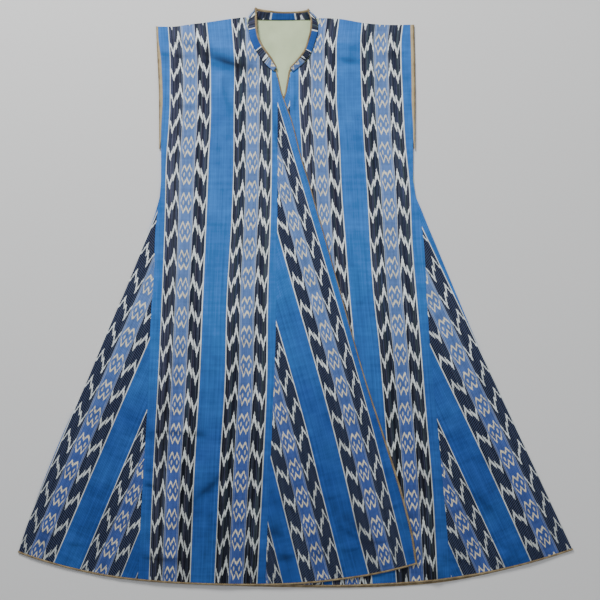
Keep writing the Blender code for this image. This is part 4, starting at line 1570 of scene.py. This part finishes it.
# %% Sew the braid and the hem
HEM_TURN = 0.034
EDGE_SPOTS = 600
BESIDE_BRAID = 0.0002
# Columns: slant, length (m), gap to the next (m)
BRAID_STITCH = (0.9, 0.0023, 0.0042)
HEM_STITCH = (0.1, 0.0013, 0.0125)


def beside_edge(node, side, offset, start, end):
    """A line beside an edge braid, between two shares of its length."""
    cut = Outline(node)
    drops = np.linspace(cut.top_left[1], cut.low_left[1], EDGE_SPOTS)
    drops = drops[int(EDGE_SPOTS * start):int(EDGE_SPOTS * end)]
    return (cut.left if side < 0 else cut.right)(drops) + side * offset, drops


def above_hem(node, offset, start=0.0, end=1.0):
    """A line above a hem braid."""
    cut = Outline(node)
    spots = np.linspace(cut.top_left[0], cut.top_right[0], EDGE_SPOTS)
    spots = spots[int(EDGE_SPOTS * start):int(EDGE_SPOTS * end)]
    return spots, cut.top(spots) - offset


sew("stitches_of_braid", BRAID_STITCH, [
    (beside_edge("braid_right_front", -1, BESIDE_BRAID, 0.005, 0.995), over_height),
    (beside_edge("braid_armhole_right_front", 1, WIDE_REACH, 0.33, 0.6), over_height),
    (beside_edge("braid_armhole_left_front", -1, WIDE_REACH, 0.02, 0.6), under_height),
    (above_hem("braid_hem_right", BESIDE_BRAID), over_height),
    (above_hem("braid_hem_left", BESIDE_BRAID, 0.3), under_height),
], thread_material("brown thread", colour(176, 146, 96)))
sew("stitches_of_hem", HEM_STITCH, [
    (above_hem("braid_hem_right", HEM_TURN, 0.01, 0.99), over_height),
    (above_hem("braid_hem_left", HEM_TURN, 0.36, 0.99), under_height),
], thread_material("blue thread", colour(44, 74, 120)))

# %% [markdown]
# ## Bodies and sheets
# Every piece rides on the one body. For each sheet of cloth the size that it was cut to is worked
# out: the box of its solid, and a little more for what the creases take up.

# %% Bodies
for name, piece in pieces.items():
    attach(piece, "root")
print(len(pieces), "pieces ride on the body")

# %% Sheets
CREASE_ALLOWANCE = 0.002
# Columns: piece, its solid, what it rests on
SHEETS = (
    ("back", "back_panel", ()), ("back_gore_of_right", "back_gore_right", ()),
    ("back_gore_of_left", "back_gore_left", ()), ("lining_of_neck", "neck_lining", ("back",)),
    ("front_of_left", "left_front", ("back",)), ("underlap_gore", "left_front_gore", ("back",)),
    ("side_gore_of_left", "left_side_gore", ("back_gore_of_left",)),
    ("front_of_right", "right_front", ("back",)),
    ("overlap_gore", "right_front_gore", ("front_of_left",)),
    ("side_gore_of_right", "right_side_gore", ("back_gore_of_right",)),
)
for name, node, rests_on in SHEETS:
    low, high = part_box(node)
    flat = (high[0] - low[0] + CREASE_ALLOWANCE, high[1] - low[1] + CREASE_ALLOWANCE)

# %% [markdown]
# ## Floor, light and camera
# A plain pale floor takes the garment's soft shadow. One large lamp stands low beyond the collar,
# a little to the left, and grazes the cloth, so that the creases show. Two wide ones and a pale
# sky fill in. The camera looks straight down from high above, with the garment's length filling
# the frame.

# %% Floor
FLOOR_SIZE = 12.0
FLOOR_GAP = 0.0004


def make_floor():
    """A pale floor just under the garment."""
    bm = bmesh.new()
    bmesh.ops.create_grid(bm, x_segments=1, y_segments=1, size=FLOOR_SIZE / 2)
    mesh = bpy.data.meshes.new("floor")
    bm.to_mesh(mesh)
    bm.free()
    material, tree, shader = start_material("pale floor", 0.8)
    shader.inputs["Base Color"].default_value = (0.72, 0.72, 0.71, 1)
    mesh.materials.append(material)
    floor = bpy.data.objects.new("floor", mesh)
    floor.location.z = -FLOOR_GAP
    bpy.context.scene.collection.objects.link(floor)


make_floor()
print(f"floor {FLOOR_SIZE:.0f} m wide")

# %% Light
SKY = (0.9, 0.93, 1.0, 1)
SKY_STRENGTH = 0.28
# Columns: name, place (m), size (m), power (W)
LAMPS = (
    ("key", (-1.1, 3.05, 1.75), 1.0, 192), ("fill", (2.6, 0.6, 2.6), 2.4, 28),
    ("low_fill", (-0.6, -2.8, 2.6), 2.4, 14),
)
for name, place, size, power in LAMPS:
    light = bpy.data.lights.new(name, "AREA")
    light.size = size
    light.energy = power
    lamp = bpy.data.objects.new(name, light)
    lamp.location = place
    lamp.rotation_euler = (-Vector(place)).to_track_quat("-Z", "Y").to_euler()
    bpy.context.scene.collection.objects.link(lamp)
world = bpy.data.worlds.new("soft studio")
world.use_nodes = True
world.node_tree.nodes["Background"].inputs["Color"].default_value = SKY
world.node_tree.nodes["Background"].inputs["Strength"].default_value = SKY_STRENGTH
bpy.context.scene.world = world
print(len(LAMPS), "lamps and a pale sky")

# %% Camera
FRAME_WIDTH = 1.350
LENS = 100.0
SENSOR = 36.0
camera_data = bpy.data.cameras.new("camera")
camera_data.lens = LENS
camera_data.sensor_width = SENSOR
camera = bpy.data.objects.new("camera", camera_data)
camera.location = (0.0101, -0.0056, FRAME_WIDTH * LENS / SENSOR + 0.004)
bpy.context.scene.collection.objects.link(camera)
bpy.context.scene.camera = camera
print(f"camera {camera.location.z:.3f} m above the floor")
